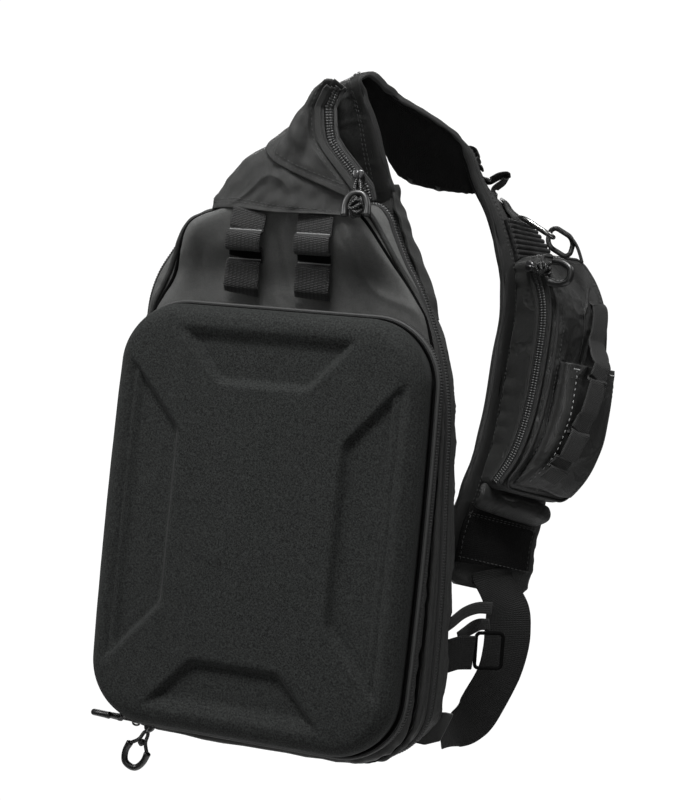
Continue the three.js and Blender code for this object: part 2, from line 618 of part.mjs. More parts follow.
// The small outer pocket: a panel that stands off the pocket's face, sewn along three sides, open at its top
function smallPocket() {
  const [from, to] = PLACES.smallPocket;
  const span = PLACES.pocket[1] - PLACES.pocket[0];
  const { wall, depth, width } = SMALL_POCKET;
  const profile = [[0, 0], [0.03, 0.7], [0.12, 0.95], [0.5, 1], [0.88, 0.95], [0.97, 0.7], [1, 0]];
  const left = STRAP.width / 2 - width / 2 + 3;
  return skin(steps(10).map((t) => {
    const row = lerp(from, to, t);
    const share = (row - PLACES.pocket[0]) / span;
    const base = FACE + read(POCKET_DEPTHS, 'at', share, 'share') * POCKET.depth + GAP + 0.6;
    const stand = (depth - wall) * Math.sqrt(clamp(1 - (t - 0.35) ** 2 / 0.43, 0.02, 1));
    const side = (inset, rise) => profile.map(([a, h]) =>
      onStrap(row, left + inset + a * (width - 2 * inset), base + h * (stand + rise)));
    return [...side(0, wall), ...side(wall, 0).reverse()];
  }), { ladder: true });
}

// The webbing over the small pocket, sewn down at bars, with its loops standing off
const WEBBING_ROWS = [
  { at: 0, across: 0.86, off: 0 },
  { at: 0.1, across: 0.8, off: 0.6 },
  { at: 0.22, across: 0.74, off: 0.5 },
  { at: 0.3, across: 0.66, off: 0.1 },
  { at: 0.45, across: 0.62, off: 0.7 },
  { at: 0.58, across: 0.58, off: 0.2 },
  { at: 0.7, across: 0.54, off: 0.7 },
  { at: 0.84, across: 0.5, off: 0.4 },
  { at: 0.92, across: 0.49, off: 0.7 },
  { at: 1, across: 0.48, off: 0.1 },
];

function pocketWebbing() {
  const [from, to] = PLACES.webbing;
  const span = PLACES.pocket[1] - PLACES.pocket[0];
  return ribbon(WEBBING_ROWS.map(({ at, across, off }) => {
    const row = lerp(from, to, at);
    const share = (row - PLACES.pocket[0]) / span;
    const frame = strapFrame(row);
    const over = row > PLACES.smallPocket[0] - 0.25 ? SMALL_POCKET.depth + SMALL_POCKET.wall : 0;
    const base = FACE + read(POCKET_DEPTHS, 'at', share, 'share') * POCKET.depth + over + 1.4;
    return { at: onStrap(row, across * STRAP.width, base + off * 4), across: frame.across, out: frame.out };
  }), POCKET_WEBBING.width, POCKET_WEBBING.wall);
}

// A loop of webbing that stands off the strap, with a hole through it: its two ends lie on the strap
function strapLoop(row, { width, reach, span, lift }) {
  const pitch = onStrap(row + 0.5, 0, 0).distanceTo(onStrap(row - 0.5, 0, 0));
  const path = [[-1, 0], [-0.5, 0.12], [-0.42, 0.7], [0, 1], [0.42, 0.7], [0.5, 0.12], [1, 0]];
  const stations = path.map(([share, height]) => {
    const place = row + share * span / pitch;
    const frame = strapFrame(place);
    const at = onStrap(place, frame.width / 2, FACE + WEBBING / 2 + lift + height * reach);
    return { at, across: frame.across };
  });
  stations.forEach((station, i) => {
    const ahead = stations[Math.min(i + 1, stations.length - 1)].at.clone()
      .sub(stations[Math.max(i - 1, 0)].at).normalize();
    station.out = ahead.cross(station.across).normalize();
  });
  return ribbon(stations, width, WEBBING);
}

// A ring of wire as a rounded rectangle in the plane of two directions
function wireRing(centre, u, v, width, height, corner) {
  const points = roundedRectangle(width, height, corner, 3, 2)
    .map(([a, b]) => centre.clone().addScaledVector(u, a).addScaledVector(v, b));
  return wire(points, RING_WIRE, { closed: true, density: 0.9 });
}

const ringFrame = strapFrame(PLACES.ring);
const ringReach = vec(0.88, -0.05, -0.47).normalize();
const ringAcross = vec(Math.cos(rad(108)), Math.sin(rad(108)), 0);
const ringFoot = onStrap(PLACES.ring, ringFrame.width * 0.42, FACE + ELASTIC.height + 0.5 + RING_WIRE / 2);
const dRing = () => wireRing(along(ringFoot, ringReach, D_RING.reach / 2), ringReach, ringAcross,
  D_RING.reach, D_RING.width, D_RING.corner);

// The cord loop that hangs through the D-ring's far end, and the tab below that holds it
const LOOP = { width: 20, height: 15, cord: 2.6 };
const loopCentre = along(ringFoot, ringReach, D_RING.reach + LOOP.width / 2
  - (RING_WIRE + LOOP.cord) / 2 - GAP);
const LOOP_UP = vec(0.2, 0.1, 0.97).normalize();
const ringLoop = () => wire(roundedRectangle(LOOP.width, LOOP.height, 6, 3, 2)
  .map(([a, b]) => loopCentre.clone().addScaledVector(vec(0.88, 0, -0.47), a).addScaledVector(LOOP_UP, b)),
LOOP.cord, { closed: true, density: 0.9 });

function boxAt(centre, u, v, w, size) {
  const geometry = new THREE.BoxGeometry(...size);
  geometry.applyMatrix4(new THREE.Matrix4().makeBasis(u, v, w).setPosition(centre));
  return tidy(geometry);
}

// Webbing from under the patch on the strap's end down to the bag's corner: its front edge, as shares of
// the body's half width, the strap's sway and the body's height, and where its width points
const strapExit = (row, out) => {
  const { x, y, z } = onStrap(row, SIDE_WEBBING.fromEdge, FACE + out);
  return { side: x / BODY.halfWidth, back: y / STRAP.sway, up: z / BODY.height, turn: 50, dip: 13 };
};
const SIDE_ROWS = [
  strapExit(22.42, 1.4),
  strapExit(22.85, 2.2),
  { side: 1.146, back: 0.839, up: 0.256, turn: 44, dip: 9 },
  { side: 1.155, back: 0.821, up: 0.215, turn: 40, dip: 7 },
  { side: 1.155, back: 0.786, up: 0.172, turn: 42, dip: 2 },
  { side: 1.138, back: 0.714, up: 0.128, turn: 46, dip: 2 },
  { side: 1.088, back: 0.571, up: 0.085, turn: 48, dip: 6 },
  { side: 1.046, back: 0.375, up: 0.051, turn: 52, dip: 10 },
  { side: 0.996, back: 0.179, up: 0.033, turn: 64, dip: 12 },
  { side: 0.946, back: 0.054, up: 0.023, turn: 80, dip: 14 },
];

function ribbonByEdge(rows, width, thickness) {
  const edge = new THREE.CatmullRomCurve3(rows.map(({ side, back, up }) =>
    vec(side * BODY.halfWidth, back * STRAP.sway, up * BODY.height)), false, 'centripetal');
  const cross = new THREE.CatmullRomCurve3(rows.map(({ turn, dip }) => vec(turn, dip, 0)), false, 'centripetal');
  const count = rows.length * 3;
  const stations = steps(count).map((t) => {
    const { x: turn, y: dip } = cross.getPoint(t);
    const across = vec(Math.cos(rad(turn)) * Math.cos(rad(dip)), Math.sin(rad(turn)) * Math.cos(rad(dip)),
      -Math.sin(rad(dip)));
    return { at: along(edge.getPoint(t), across, width / 2), across };
  });
  stations.forEach((station, i) => {
    const ahead = stations[Math.min(i + 1, count)].at.clone().sub(stations[Math.max(i - 1, 0)].at);
    station.out = ahead.cross(station.across).normalize();
  });
  return ribbon(stations, width, thickness);
}

// The corner tab: a triangle of doubled cloth on the bag's lower right corner, in line with its back
const TAB = { reach: 7.5, tipHeight: 30, lowHeight: 9, thickness: 3, depth: -7 };
function cornerTab() {
  const right = SIDES[0].right * BODY.halfWidth;
  const corner = BODY.corner;
  const seat = corner - GAP / 3;
  const seated = steps(5).map((t) => {
    const angle = rad(lerp(-62, -16, t));
    return [right - corner + seat * Math.cos(angle), corner + seat * Math.sin(angle)];
  });
  const points = [...seated, [right + TAB.reach, TAB.tipHeight], [right - 1, TAB.lowHeight],
    [right - 12, TAB.lowHeight - 4.5]];
  const face = (y) => points.map(([x, z]) => vec(x, y, z));
  return skin([face(TAB.depth - TAB.thickness / 2), face(TAB.depth + TAB.thickness / 2)]);
}

// The stabiliser: a band from the bag's side to a ladder buckle behind the side webbing, and two thin
// ribbons that come back from the buckle. Rows as for the side webbing.
const BAND_ROWS = [
  { side: 1.058, back: -0.111, up: 0.215, turn: 90, dip: 90 },
  { side: 1.105, back: 0.071, up: 0.218, turn: 90, dip: 90 },
  { side: 1.121, back: 0.143, up: 0.217, turn: 90, dip: 90 },
  { side: 1.166, back: 0.273, up: 0.215, turn: 90, dip: 90 },
];
const RIBBON_ROWS = {
  upper: [
    { side: 1.063, back: -0.1, up: 0.256, turn: 90, dip: 80 },
    { side: 1.113, back: 0.107, up: 0.272, turn: 90, dip: 80 },
    { side: 1.172, back: 0.304, up: 0.279, turn: 90, dip: 86 },
    { side: 1.238, back: 0.464, up: 0.277, turn: 90, dip: 90 },
  ],
  lower: [
    { side: 1.113, back: 0.357, up: 0.233, turn: 60, dip: 80 },
    { side: 1.172, back: 0.384, up: 0.245, turn: 60, dip: 80 },
    { side: 1.238, back: 0.368, up: 0.248, turn: 60, dip: 80 },
  ],
};
const BUCKLE = { width: 20, height: 26, corner: 3, bar: 3, turn: 30 };
const buckleCentre = vec(1.247 * BODY.halfWidth, 0.393 * STRAP.sway, 0.187 * BODY.height);
const buckleAcross = vec(Math.cos(rad(BUCKLE.turn)), Math.sin(rad(BUCKLE.turn)), 0);
const buckle = () => wire(roundedRectangle(BUCKLE.height, BUCKLE.width, BUCKLE.corner, 2, 2)
  .map(([a, b]) => along(along(buckleCentre, buckleAcross, b), vec(0, 0, 1), a)),
BUCKLE.bar, { closed: true, density: 0.9 });

// Moulded cord pulls: a cord from the slider to a U-shaped grip
function gripPoints(top, down, side) {
  const { width, height } = PULL;
  return [[-0.5, 0.15], [-0.5, 0.6], [-0.3, 0.93], [0, 1], [0.3, 0.93], [0.5, 0.6], [0.5, 0.15]]
    .map(([a, b]) => along(along(top, side, a * width * 0.7), down, b * height * 0.75));
}

// Each pull: the middle of its slider's end, how it hangs and which way its loop opens
const shellBottom = (across, below) => onShell(across, 1 - SHELL.height / 2 - below, -SHELL_TAPE.depth * 0.7);
const PULLS = {
  shell_pull_left: {
    at: shellBottom(-87, 1.6), down: vec(-0.99, 0.02, 0.02), side: vec(0.1, 0.93, -0.3),
  },
  shell_pull_right: {
    at: shellBottom(-76, 5), down: vec(-0.42, 0, -0.9), side: vec(0.9, 0.1, -0.42),
  },
  peak_pull: {
    at: vec(0.452 * BODY.halfWidth, -YOKE.toBack - 4.8, 0.863 * YOKE.peak),
    down: vec(0.1, -0.3, -0.95), side: vec(1, 0.1, 0),
  },
  pocket_pull: {
    at: vec(1.155 * STRAP.reach, 0.877 * STRAP.sway, 0.7354 * STRAP.crown),
    down: vec(0.93, -0.3, -0.12), side: vec(0.1, 0.1, 1),
  },
};

function pullParts({ at, down, side }) {
  const out = down.clone().normalize();
  const across = side.clone().addScaledVector(out, -side.dot(out)).normalize();
  const face = out.clone().cross(across);
  const knot = along(at, out, 5);
  const grip = gripPoints(along(knot, out, 9), out, across);
  const ends = [grip[0], grip[grip.length - 1]].map((end) => along(end, out, -PULL.grip * 0.2 - GAP));
  const cord = [ends[0], along(ends[0].clone().lerp(knot, 0.5), across, 1), along(knot, across, -1.5),
    along(knot, out, -2), along(knot, across, 1.5), along(ends[1].clone().lerp(knot, 0.5), across, -1), ends[1]];
  return {
    cord: wire(cord, PULL.cord),
    grip: wire(grip, PULL.grip, { density: 0.8 }),
    slider: boxAt(along(at, out, SLIDER.ahead - SLIDER.length / 2), out, across, face,
      [SLIDER.length, SLIDER.width, SLIDER.height]),
  };
}

// The whole bag
const bag = new THREE.Group();
const MATERIALS = {
  felt: { color: 0x1b1f20, roughness: 0.95, metalness: 0 },
  cloth: { color: 0x17191a, roughness: 0.85, metalness: 0 },
  webbing: { color: 0x202222, roughness: 0.8, metalness: 0 },
  mesh: { color: 0x0c0d0e, roughness: 0.95, metalness: 0 },
  tape: { color: 0x141617, roughness: 0.75, metalness: 0 },
  metal: { color: 0x9a9c9c, roughness: 0.3, metalness: 1 },
  grip: { color: 0x26292a, roughness: 0.5, metalness: 0 },
};

function add(name, geometry, material) {
  const mesh = new THREE.Mesh(geometry, new THREE.MeshStandardMaterial(MATERIALS[material]));
  mesh.name = name;
  bag.add(mesh);
}

add('front_shell', frontShell(), 'felt');
add('shell_zip_tape', shellTape(), 'tape');
add('body_front', bodyFront(), 'cloth');
add('main_zip_tape', mainTape(), 'tape');
add('body_back', bodyBack(), 'mesh');
add('shoulder_strap', shoulderStrap(), 'mesh');
add('yoke_lower', yokeLower(), 'cloth');
add('yoke_upper', yokeUpper(), 'cloth');
add('peak_zip_tape', peakTape(), 'tape');
add('molle_left', molleStrip(-26, -38), 'webbing');
add('molle_right', molleStrip(24, 18), 'webbing');
add('ring_tab', strapStrip(PLACES.clothTab, 4, RING_TAB.width, RING_TAB.wall, () => FACE + RING_TAB.lift), 'cloth');
add('strap_elastic', strapElastic(), 'webbing');
add('strap_top_loop', strapLoop(PLACES.topLoop, TOP_LOOP), 'webbing');
add('strap_hook_loop', strapLoop(PLACES.hookLoop, HOOK_LOOP), 'webbing');
add('strap_pocket', strapPocket(), 'cloth');
add('pocket_zip_tape', pocketTape(), 'tape');
add('small_pocket', smallPocket(), 'cloth');
add('pocket_webbing', pocketWebbing(), 'webbing');
add('d_ring', dRing(), 'metal');
add('ring_loop', ringLoop(), 'webbing');
add('strap_end_flap', strapStrip(PLACES.flap, 4, STRAP.width - END_FLAP.inset, END_FLAP.wall,
  (t) => FACE + END_FLAP.lift - END_FLAP.fall * t), 'cloth');
add('strap_end_patch', strapStrip(PLACES.patch, 6, STRAP.width - END_PATCH.inset, END_PATCH.wall,
  () => FACE + END_PATCH.lift), 'webbing');
add('side_webbing', ribbonByEdge(SIDE_ROWS, SIDE_WEBBING.width, SIDE_WEBBING.wall), 'webbing');
add('corner_tab', cornerTab(), 'cloth');
add('stabiliser_band', ribbonByEdge(BAND_ROWS, STABILISER.band, STABILISER.wall), 'webbing');
add('stabiliser_buckle', buckle(), 'grip');
Object.entries(RIBBON_ROWS).forEach(([name, rows]) =>
  add(`stabiliser_${name}_ribbon`, ribbonByEdge(rows, STABILISER.ribbon, STABILISER.wall), 'webbing'));
Object.entries(PULLS).forEach(([name, pull]) => {
  const { cord, grip, slider } = pullParts(pull);
  add(`${name}_slider`, slider, 'metal');
  add(`${name}_cord`, cord, 'webbing');
  add(`${name}_grip`, grip, 'grip');
});

const hang = onStrap(5.6, STRAP.width / 2, -STRAP.thickness / 2);
bag.position.copy(hang).negate();
export default bag;
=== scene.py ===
# %% [markdown]
# # A fishing tackle sling bag
# The bag hangs by the crown of its strap: a moulded front shell, a cloth body that narrows to a peak,
# and a padded strap with a pocket of its own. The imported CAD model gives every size. Each soft piece
# is then worked out again as a fine surface, from the same tables that the solids were made from.

# %% The frame
import json

import bmesh
import bpy
import numpy as np
from mathutils import Matrix
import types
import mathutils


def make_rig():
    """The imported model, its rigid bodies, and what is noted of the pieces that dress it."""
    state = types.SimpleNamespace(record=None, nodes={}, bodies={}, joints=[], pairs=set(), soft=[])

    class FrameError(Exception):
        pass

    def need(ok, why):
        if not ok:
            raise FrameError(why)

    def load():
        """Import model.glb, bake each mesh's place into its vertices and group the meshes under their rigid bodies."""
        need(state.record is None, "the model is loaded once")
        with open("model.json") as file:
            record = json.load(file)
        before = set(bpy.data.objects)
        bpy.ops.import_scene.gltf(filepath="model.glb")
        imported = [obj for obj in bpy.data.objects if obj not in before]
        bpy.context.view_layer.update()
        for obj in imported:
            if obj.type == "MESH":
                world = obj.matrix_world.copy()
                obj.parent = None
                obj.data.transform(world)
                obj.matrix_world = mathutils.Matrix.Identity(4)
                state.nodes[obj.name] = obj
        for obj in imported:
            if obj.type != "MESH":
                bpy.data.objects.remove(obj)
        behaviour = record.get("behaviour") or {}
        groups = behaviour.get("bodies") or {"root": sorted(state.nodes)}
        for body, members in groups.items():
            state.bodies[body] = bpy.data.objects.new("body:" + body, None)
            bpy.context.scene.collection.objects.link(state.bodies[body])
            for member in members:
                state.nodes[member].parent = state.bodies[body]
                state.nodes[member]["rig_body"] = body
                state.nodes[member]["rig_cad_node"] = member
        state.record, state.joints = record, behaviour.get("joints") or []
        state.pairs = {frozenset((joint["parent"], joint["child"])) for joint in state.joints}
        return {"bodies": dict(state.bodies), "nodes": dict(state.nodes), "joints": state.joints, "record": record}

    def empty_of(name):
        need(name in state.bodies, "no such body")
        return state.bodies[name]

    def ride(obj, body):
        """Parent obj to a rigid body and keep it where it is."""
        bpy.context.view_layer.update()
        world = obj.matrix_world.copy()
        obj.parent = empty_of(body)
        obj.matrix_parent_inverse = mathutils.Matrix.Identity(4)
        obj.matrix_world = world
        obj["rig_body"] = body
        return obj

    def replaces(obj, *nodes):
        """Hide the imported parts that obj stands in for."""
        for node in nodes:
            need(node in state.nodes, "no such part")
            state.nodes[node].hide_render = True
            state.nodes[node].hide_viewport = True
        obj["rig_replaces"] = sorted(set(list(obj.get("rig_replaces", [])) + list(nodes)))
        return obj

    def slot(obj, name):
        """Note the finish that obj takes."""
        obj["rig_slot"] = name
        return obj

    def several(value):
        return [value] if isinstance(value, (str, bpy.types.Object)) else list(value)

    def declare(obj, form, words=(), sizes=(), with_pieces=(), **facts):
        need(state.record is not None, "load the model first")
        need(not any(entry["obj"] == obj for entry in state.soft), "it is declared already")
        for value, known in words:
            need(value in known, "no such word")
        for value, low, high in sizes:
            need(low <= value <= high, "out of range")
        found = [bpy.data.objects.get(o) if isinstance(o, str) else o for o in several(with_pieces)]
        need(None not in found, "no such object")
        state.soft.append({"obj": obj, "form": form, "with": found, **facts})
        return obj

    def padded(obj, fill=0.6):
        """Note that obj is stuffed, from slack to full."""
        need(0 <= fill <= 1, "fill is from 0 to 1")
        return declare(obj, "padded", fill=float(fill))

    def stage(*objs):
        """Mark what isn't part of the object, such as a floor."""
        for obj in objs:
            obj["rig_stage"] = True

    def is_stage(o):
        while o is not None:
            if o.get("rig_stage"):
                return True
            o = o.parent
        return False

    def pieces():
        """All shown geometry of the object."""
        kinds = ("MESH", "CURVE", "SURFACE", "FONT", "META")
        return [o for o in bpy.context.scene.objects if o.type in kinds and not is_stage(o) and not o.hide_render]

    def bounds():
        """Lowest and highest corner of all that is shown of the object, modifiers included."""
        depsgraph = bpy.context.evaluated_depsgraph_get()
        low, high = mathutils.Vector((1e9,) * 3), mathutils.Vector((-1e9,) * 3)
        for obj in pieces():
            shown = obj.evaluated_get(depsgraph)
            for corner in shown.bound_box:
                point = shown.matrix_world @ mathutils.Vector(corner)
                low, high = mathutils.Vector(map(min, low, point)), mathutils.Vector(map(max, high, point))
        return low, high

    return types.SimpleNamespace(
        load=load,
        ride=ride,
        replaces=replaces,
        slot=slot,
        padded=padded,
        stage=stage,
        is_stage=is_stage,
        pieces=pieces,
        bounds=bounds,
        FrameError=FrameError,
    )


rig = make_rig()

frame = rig.load()
cad_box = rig.bounds()
print("CAD nodes:", len(frame["nodes"]))

# %% [markdown]
# ## Where things are
# The tables below are in the bag's own millimetres, with the back panel at y = 0 and the body's bottom
# at z = 0. The CAD model counts in metres from the strap's crown, so one function carries points over.

# %% From the bag's millimetres to the frame
CROWN = np.array([30.178, -5.848, 467.217])


def to_frame(points):
    """(point - crown) / 1000."""
    return (np.asarray(points, float) - CROWN) / 1000


print("The foot of the back panel is at", to_frame([0, 0, 0]).round(3))

# %% [markdown]
# ## The camera
# The photograph was taken a little from the bag's right and from above, with the camera rolled a few
# degrees. The camera comes first, because every later choice is judged through it.

# %% The camera
CAMERA_AT = (483.36, -1175.08, 370.81)
CAMERA_RIGHT = (0.92896, 0.36503, 0.0615)
CAMERA_UP = (-0.09272, 0.06861, 0.99332)
LENS = 77.8

scene = bpy.context.scene
camera = bpy.data.objects.new("camera", bpy.data.cameras.new("camera"))
scene.collection.objects.link(camera)
right = np.array(CAMERA_RIGHT) / np.linalg.norm(CAMERA_RIGHT)
back = np.cross(right, CAMERA_UP)
back /= np.linalg.norm(back)
turn = np.stack([right, np.cross(back, right), back], 1)
camera.matrix_world = Matrix.Translation(to_frame(CAMERA_AT)) @ Matrix(turn.tolist()).to_4x4()
camera.data.lens = LENS
camera.data.sensor_width = 36
camera.data.clip_start = 0.05
scene.camera = camera
print("Camera stands", round(float(np.linalg.norm(to_frame(CAMERA_AT))), 2), "m from the crown")

# %% [markdown]
# ## Surfaces from grids
# Every new piece is a grid of points: a function of two parameters, worked out as whole arrays. One
# function turns a grid into a mesh. It can close the grid on itself in either direction, close its ends
# with fans, and turn the faces outwards by the sign of the volume that they enclose.

# %% A grid becomes a mesh
def spread(points, wrap=(False, False)):
    """Distances along a grid in both directions, in millimetres, as a pair of coordinates a point:
    each is the running sum of the mean step between neighbouring rows or columns."""
    closed = np.concatenate([points, points[:1]], 0) if wrap[0] else points
    closed = np.concatenate([closed, closed[:, :1]], 1) if wrap[1] else closed
    down = np.linalg.norm(np.diff(closed, axis=0), axis=2).mean(1)
    over = np.linalg.norm(np.diff(closed, axis=1), axis=2).mean(0)
    u = np.concatenate([[0], np.cumsum(down)])
    v = np.concatenate([[0], np.cumsum(over)])
    return np.stack(np.meshgrid(u, v, indexing="ij"), -1)


def grid_piece(name, points, paints, slot, nodes=(), wrap=(False, False), capped=False, regions=None,
               outwards=None, uv=None):
    """A mesh whose faces join each point (i, j) of a grid to (i+1, j), (i+1, j+1) and (i, j+1)."""
    rows, columns = points.shape[:2]
    i, j = np.meshgrid(np.arange(rows if wrap[0] else rows - 1),
                       np.arange(columns if wrap[1] else columns - 1), indexing="ij")
    i, j = i.ravel(), j.ravel()
    corners = [(0, 0), (1, 0), (1, 1), (0, 1)]
    faces = np.stack([(i + a) % rows * columns + (j + b) % columns for a, b in corners], 1)
    uv = spread(points, wrap) if uv is None else uv
    uvs = np.stack([uv[i + a, j + b] for a, b in corners], 1)
    marks = np.zeros(len(faces), int) if regions is None else regions[i, j].astype(int)
    flat = points.reshape(-1, 3)
    triangles, triangle_uvs = np.zeros((0, 3), int), np.zeros((0, 3, 2))
    if capped:
        ring = np.arange(columns)
        following = (ring + 1) % columns
        for row, middle in ((0, len(flat)), (rows - 1, len(flat) + 1)):
            a, b = (ring, following) if row == 0 else (following, ring)
            fan = np.stack([row * columns + a, row * columns + b, np.full(columns, middle)], 1)
            triangles = np.concatenate([triangles, fan])
            flat = np.concatenate([flat, points[row].mean(0)[None]])
        triangle_uvs = flat[triangles][:, :, [0, 2]]
    a, b, c = (np.concatenate([flat[faces[:, k]], flat[triangles[:, m]]]) for k, m in ((0, 0), (1, 1), (2, 2)))
    d = np.concatenate([flat[faces[:, 3]], flat[triangles[:, 0]]])
    if outwards is None:
        volume = (a * np.cross(b, c)).sum() + (a * np.cross(c, d)).sum()
    else:
        volume = (np.cross(b - a, c - a) @ np.array(outwards, float)).sum()
    if volume < 0:
        faces, uvs = faces[:, ::-1], uvs[:, ::-1]
        triangles, triangle_uvs = triangles[:, ::-1], triangle_uvs[:, ::-1]
    mesh = bpy.data.meshes.new(name)
    mesh.from_pydata(to_frame(flat).tolist(), [], faces.tolist() + triangles.tolist())
    layer = mesh.uv_layers.new(name="UVMap")
    layer.data.foreach_set("uv", np.concatenate([uvs.reshape(-1, 2), triangle_uvs.reshape(-1, 2)]).ravel())
    mesh.polygons.foreach_set("use_smooth", np.ones(len(mesh.polygons), bool))
    for paint in paints if isinstance(paints, (list, tuple)) else [paints]:
        mesh.materials.append(paint)
    last = np.zeros(len(triangles), int)
    mesh.polygons.foreach_set("material_index", np.concatenate([marks, last]).astype(np.int32))
    piece = bpy.data.objects.new(name, mesh)
    scene.collection.objects.link(piece)
    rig.ride(piece, "root")
    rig.slot(piece, slot)
    if nodes:
        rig.replaces(piece, *([nodes] if isinstance(nodes, str) else nodes))
    return piece


def tell(what):
    """Prints how many meshes and faces there are so far."""
    meshes = [thing.data for thing in scene.objects if thing.type == "MESH"]
    print(f"{what}: {len(meshes)} meshes, {sum(len(mesh.polygons) for mesh in meshes)} faces so far")


def normals(points, wrap=(False, False)):
    """The unit cross product of the two differences along the grid."""
    def step(axis):
        if wrap[axis]:
            return np.roll(points, -1, axis) - np.roll(points, 1, axis)
        return np.gradient(points, axis=axis)
    cross = np.cross(step(0), step(1))
    return cross / np.maximum(np.linalg.norm(cross, axis=2, keepdims=True), 1e-9)


# %% [markdown]
# ## Curves and folds
# Tables of rows become smooth curves by the Catmull-Rom rule, which passes through every row. Folds in
# cloth are sums of a few sine waves in random directions, from a fixed seed, so each run gives the same
# cloth. A sharp crease is where such a sum passes through nought.

# %% Curves through tables
def through(rows, t):
    """Centripetal Catmull-Rom: a cubic between rows b and c, whose slopes weigh the steps a-b, b-c and c-d
    by the square roots of their lengths. It passes through every row and doesn't overshoot."""
    rows, t = np.asarray(rows, float), np.asarray(t, float)
    rows = np.concatenate([2 * rows[:1] - rows[1:2], rows, 2 * rows[-1:] - rows[-2:-1]])
    last = len(rows) - 3
    t = np.clip(t, 0, last)
    k = np.minimum(t.astype(int), last - 1)
    f = (t - k).reshape(t.shape + (1,) * (rows.ndim - 1))
    a, b, c, d = (rows[k + step] for step in range(4))
    gap_a, gap_b, gap_c = (np.sqrt(np.linalg.norm(q - p, axis=-1, keepdims=True))
                           for p, q in ((a, b), (b, c), (c, d)))
    gap_b = np.where(gap_b < 1e-4, 1, gap_b)
    gap_a, gap_c = np.where(gap_a < 1e-4, gap_b, gap_a), np.where(gap_c < 1e-4, gap_b, gap_c)
    start = ((b - a) / gap_a - (c - a) / (gap_a + gap_b) + (c - b) / gap_b) * gap_b
    end = ((c - b) / gap_b - (d - b) / (gap_b + gap_c) + (d - c) / gap_c) * gap_b
    return b + start * f + (3 * (c - b) - 2 * start - end) * f ** 2 + (2 * (b - c) + start + end) * f ** 3


def round_through(rows, t):
    """The same on a closed table, where the last row is followed by the first."""
    rows = np.asarray(rows, float)
    return through(np.concatenate([rows[-2:], rows, rows[:3]]), np.asarray(t, float) % len(rows) + 2)


def evenly(line, count, closed=False):
    """Points at equal distances along a line of points."""
    line = np.concatenate([line, line[:1]]) if closed else line
    reach = np.concatenate([[0], np.cumsum(np.linalg.norm(np.diff(line, axis=0), axis=1))])
    t = np.linspace(0, reach[-1], count + 1)[:-1] if closed else np.linspace(0, reach[-1], count)
    return np.stack([np.interp(t, reach, line[:, k]) for k in range(line.shape[1])], 1)


def unit(*v):
    """A direction: v over its own length."""
    return np.array(v, float) / np.linalg.norm(v)


def soft(t):
    """3t² - 2t³ between 0 and 1."""
    t = np.clip(t, 0, 1)
    return t * t * (3 - 2 * t)


def ripple(u, v, size, seed, stretch=1.0, waves=9):
    """A sum of sine waves about size long in random directions, over the root of their number."""
    dice = np.random.default_rng(seed)
    total = 0
    for _ in range(waves):
        angle = dice.uniform(0, 2 * np.pi)
        k = 2 * np.pi / (size * dice.uniform(0.7, 1.6))
        shift = dice.uniform(0, 6.3)
        total = total + np.sin(k * (u * np.cos(angle) + v * np.sin(angle) / stretch) + shift)
    return total / np.sqrt(waves)


def crease(u, v, size, seed, stretch=1.0, sharp=3.0):
    """A narrow ridge along the lines where a ripple is nought."""
    return np.maximum(0, 1 - np.abs(ripple(u, v, size, seed, stretch, 5)) * sharp) ** 1.5


print("Half way between two rows of an arch:", through([(0, 0), (1, 1), (2, 0)], np.array([0.5])).round(2))

# %% [markdown]
# ## Strips, cords, stitches and zips
# Webbing, tape and cord are a profile carried along a path. A stitch is a tiny spindle, repeated along a
# seam. A zip is a coil: a low rounded strip whose height beats once a tooth, with a groove down its middle.

# %% Profiles carried along paths
def frames(path, across):
    """At each point of a path: the way along it, the way across made square to it, and their product."""
    ahead = np.gradient(path, axis=0)
    ahead /= np.maximum(np.linalg.norm(ahead, axis=1, keepdims=True), 1e-9)
    across = across - (across * ahead).sum(1, keepdims=True) * ahead
    across /= np.maximum(np.linalg.norm(across, axis=1, keepdims=True), 1e-9)
    return ahead, across, np.cross(ahead, across)


def carry(path, across, out, profile):
    """Grid point (i, j) = path i + profile j's first number across + its second number out."""
    return (path[:, None] + across[:, None] * profile[..., 0:1] + out[:, None] * profile[..., 1:2])


def strip_profile(width, thickness, columns=6):
    """A flat strip's outline: two long sides with a few points each, and rounded edges."""
    w, h = width / 2, thickness / 2
    side = np.linspace(-w + h, w - h, columns)
    top = np.stack([side, np.full(columns, h)], 1)
    bulge = np.array([[w - 0.3 * h, 0.8 * h], [w, 0], [w - 0.3 * h, -0.8 * h]])
    return np.concatenate([top, bulge, -top, -bulge])


def strip(name, path, across, width, thickness, paint, slot, nodes=(), columns=6, closed=False):
    """A strip of webbing along a path. Its width may change along it."""
    _, side, out = frames(path, across)
    profile = strip_profile(1, thickness, columns)[None] * np.ones((len(path), 1, 1))
    widths = np.broadcast_to(width, len(path))[:, None]
    profile[..., 0] = strip_profile(10, thickness, columns)[None, :, 0] * widths / 10
    return grid_piece(name, carry(path, side, out, profile), paint, slot, nodes, wrap=(closed, True),
                      capped=not closed)


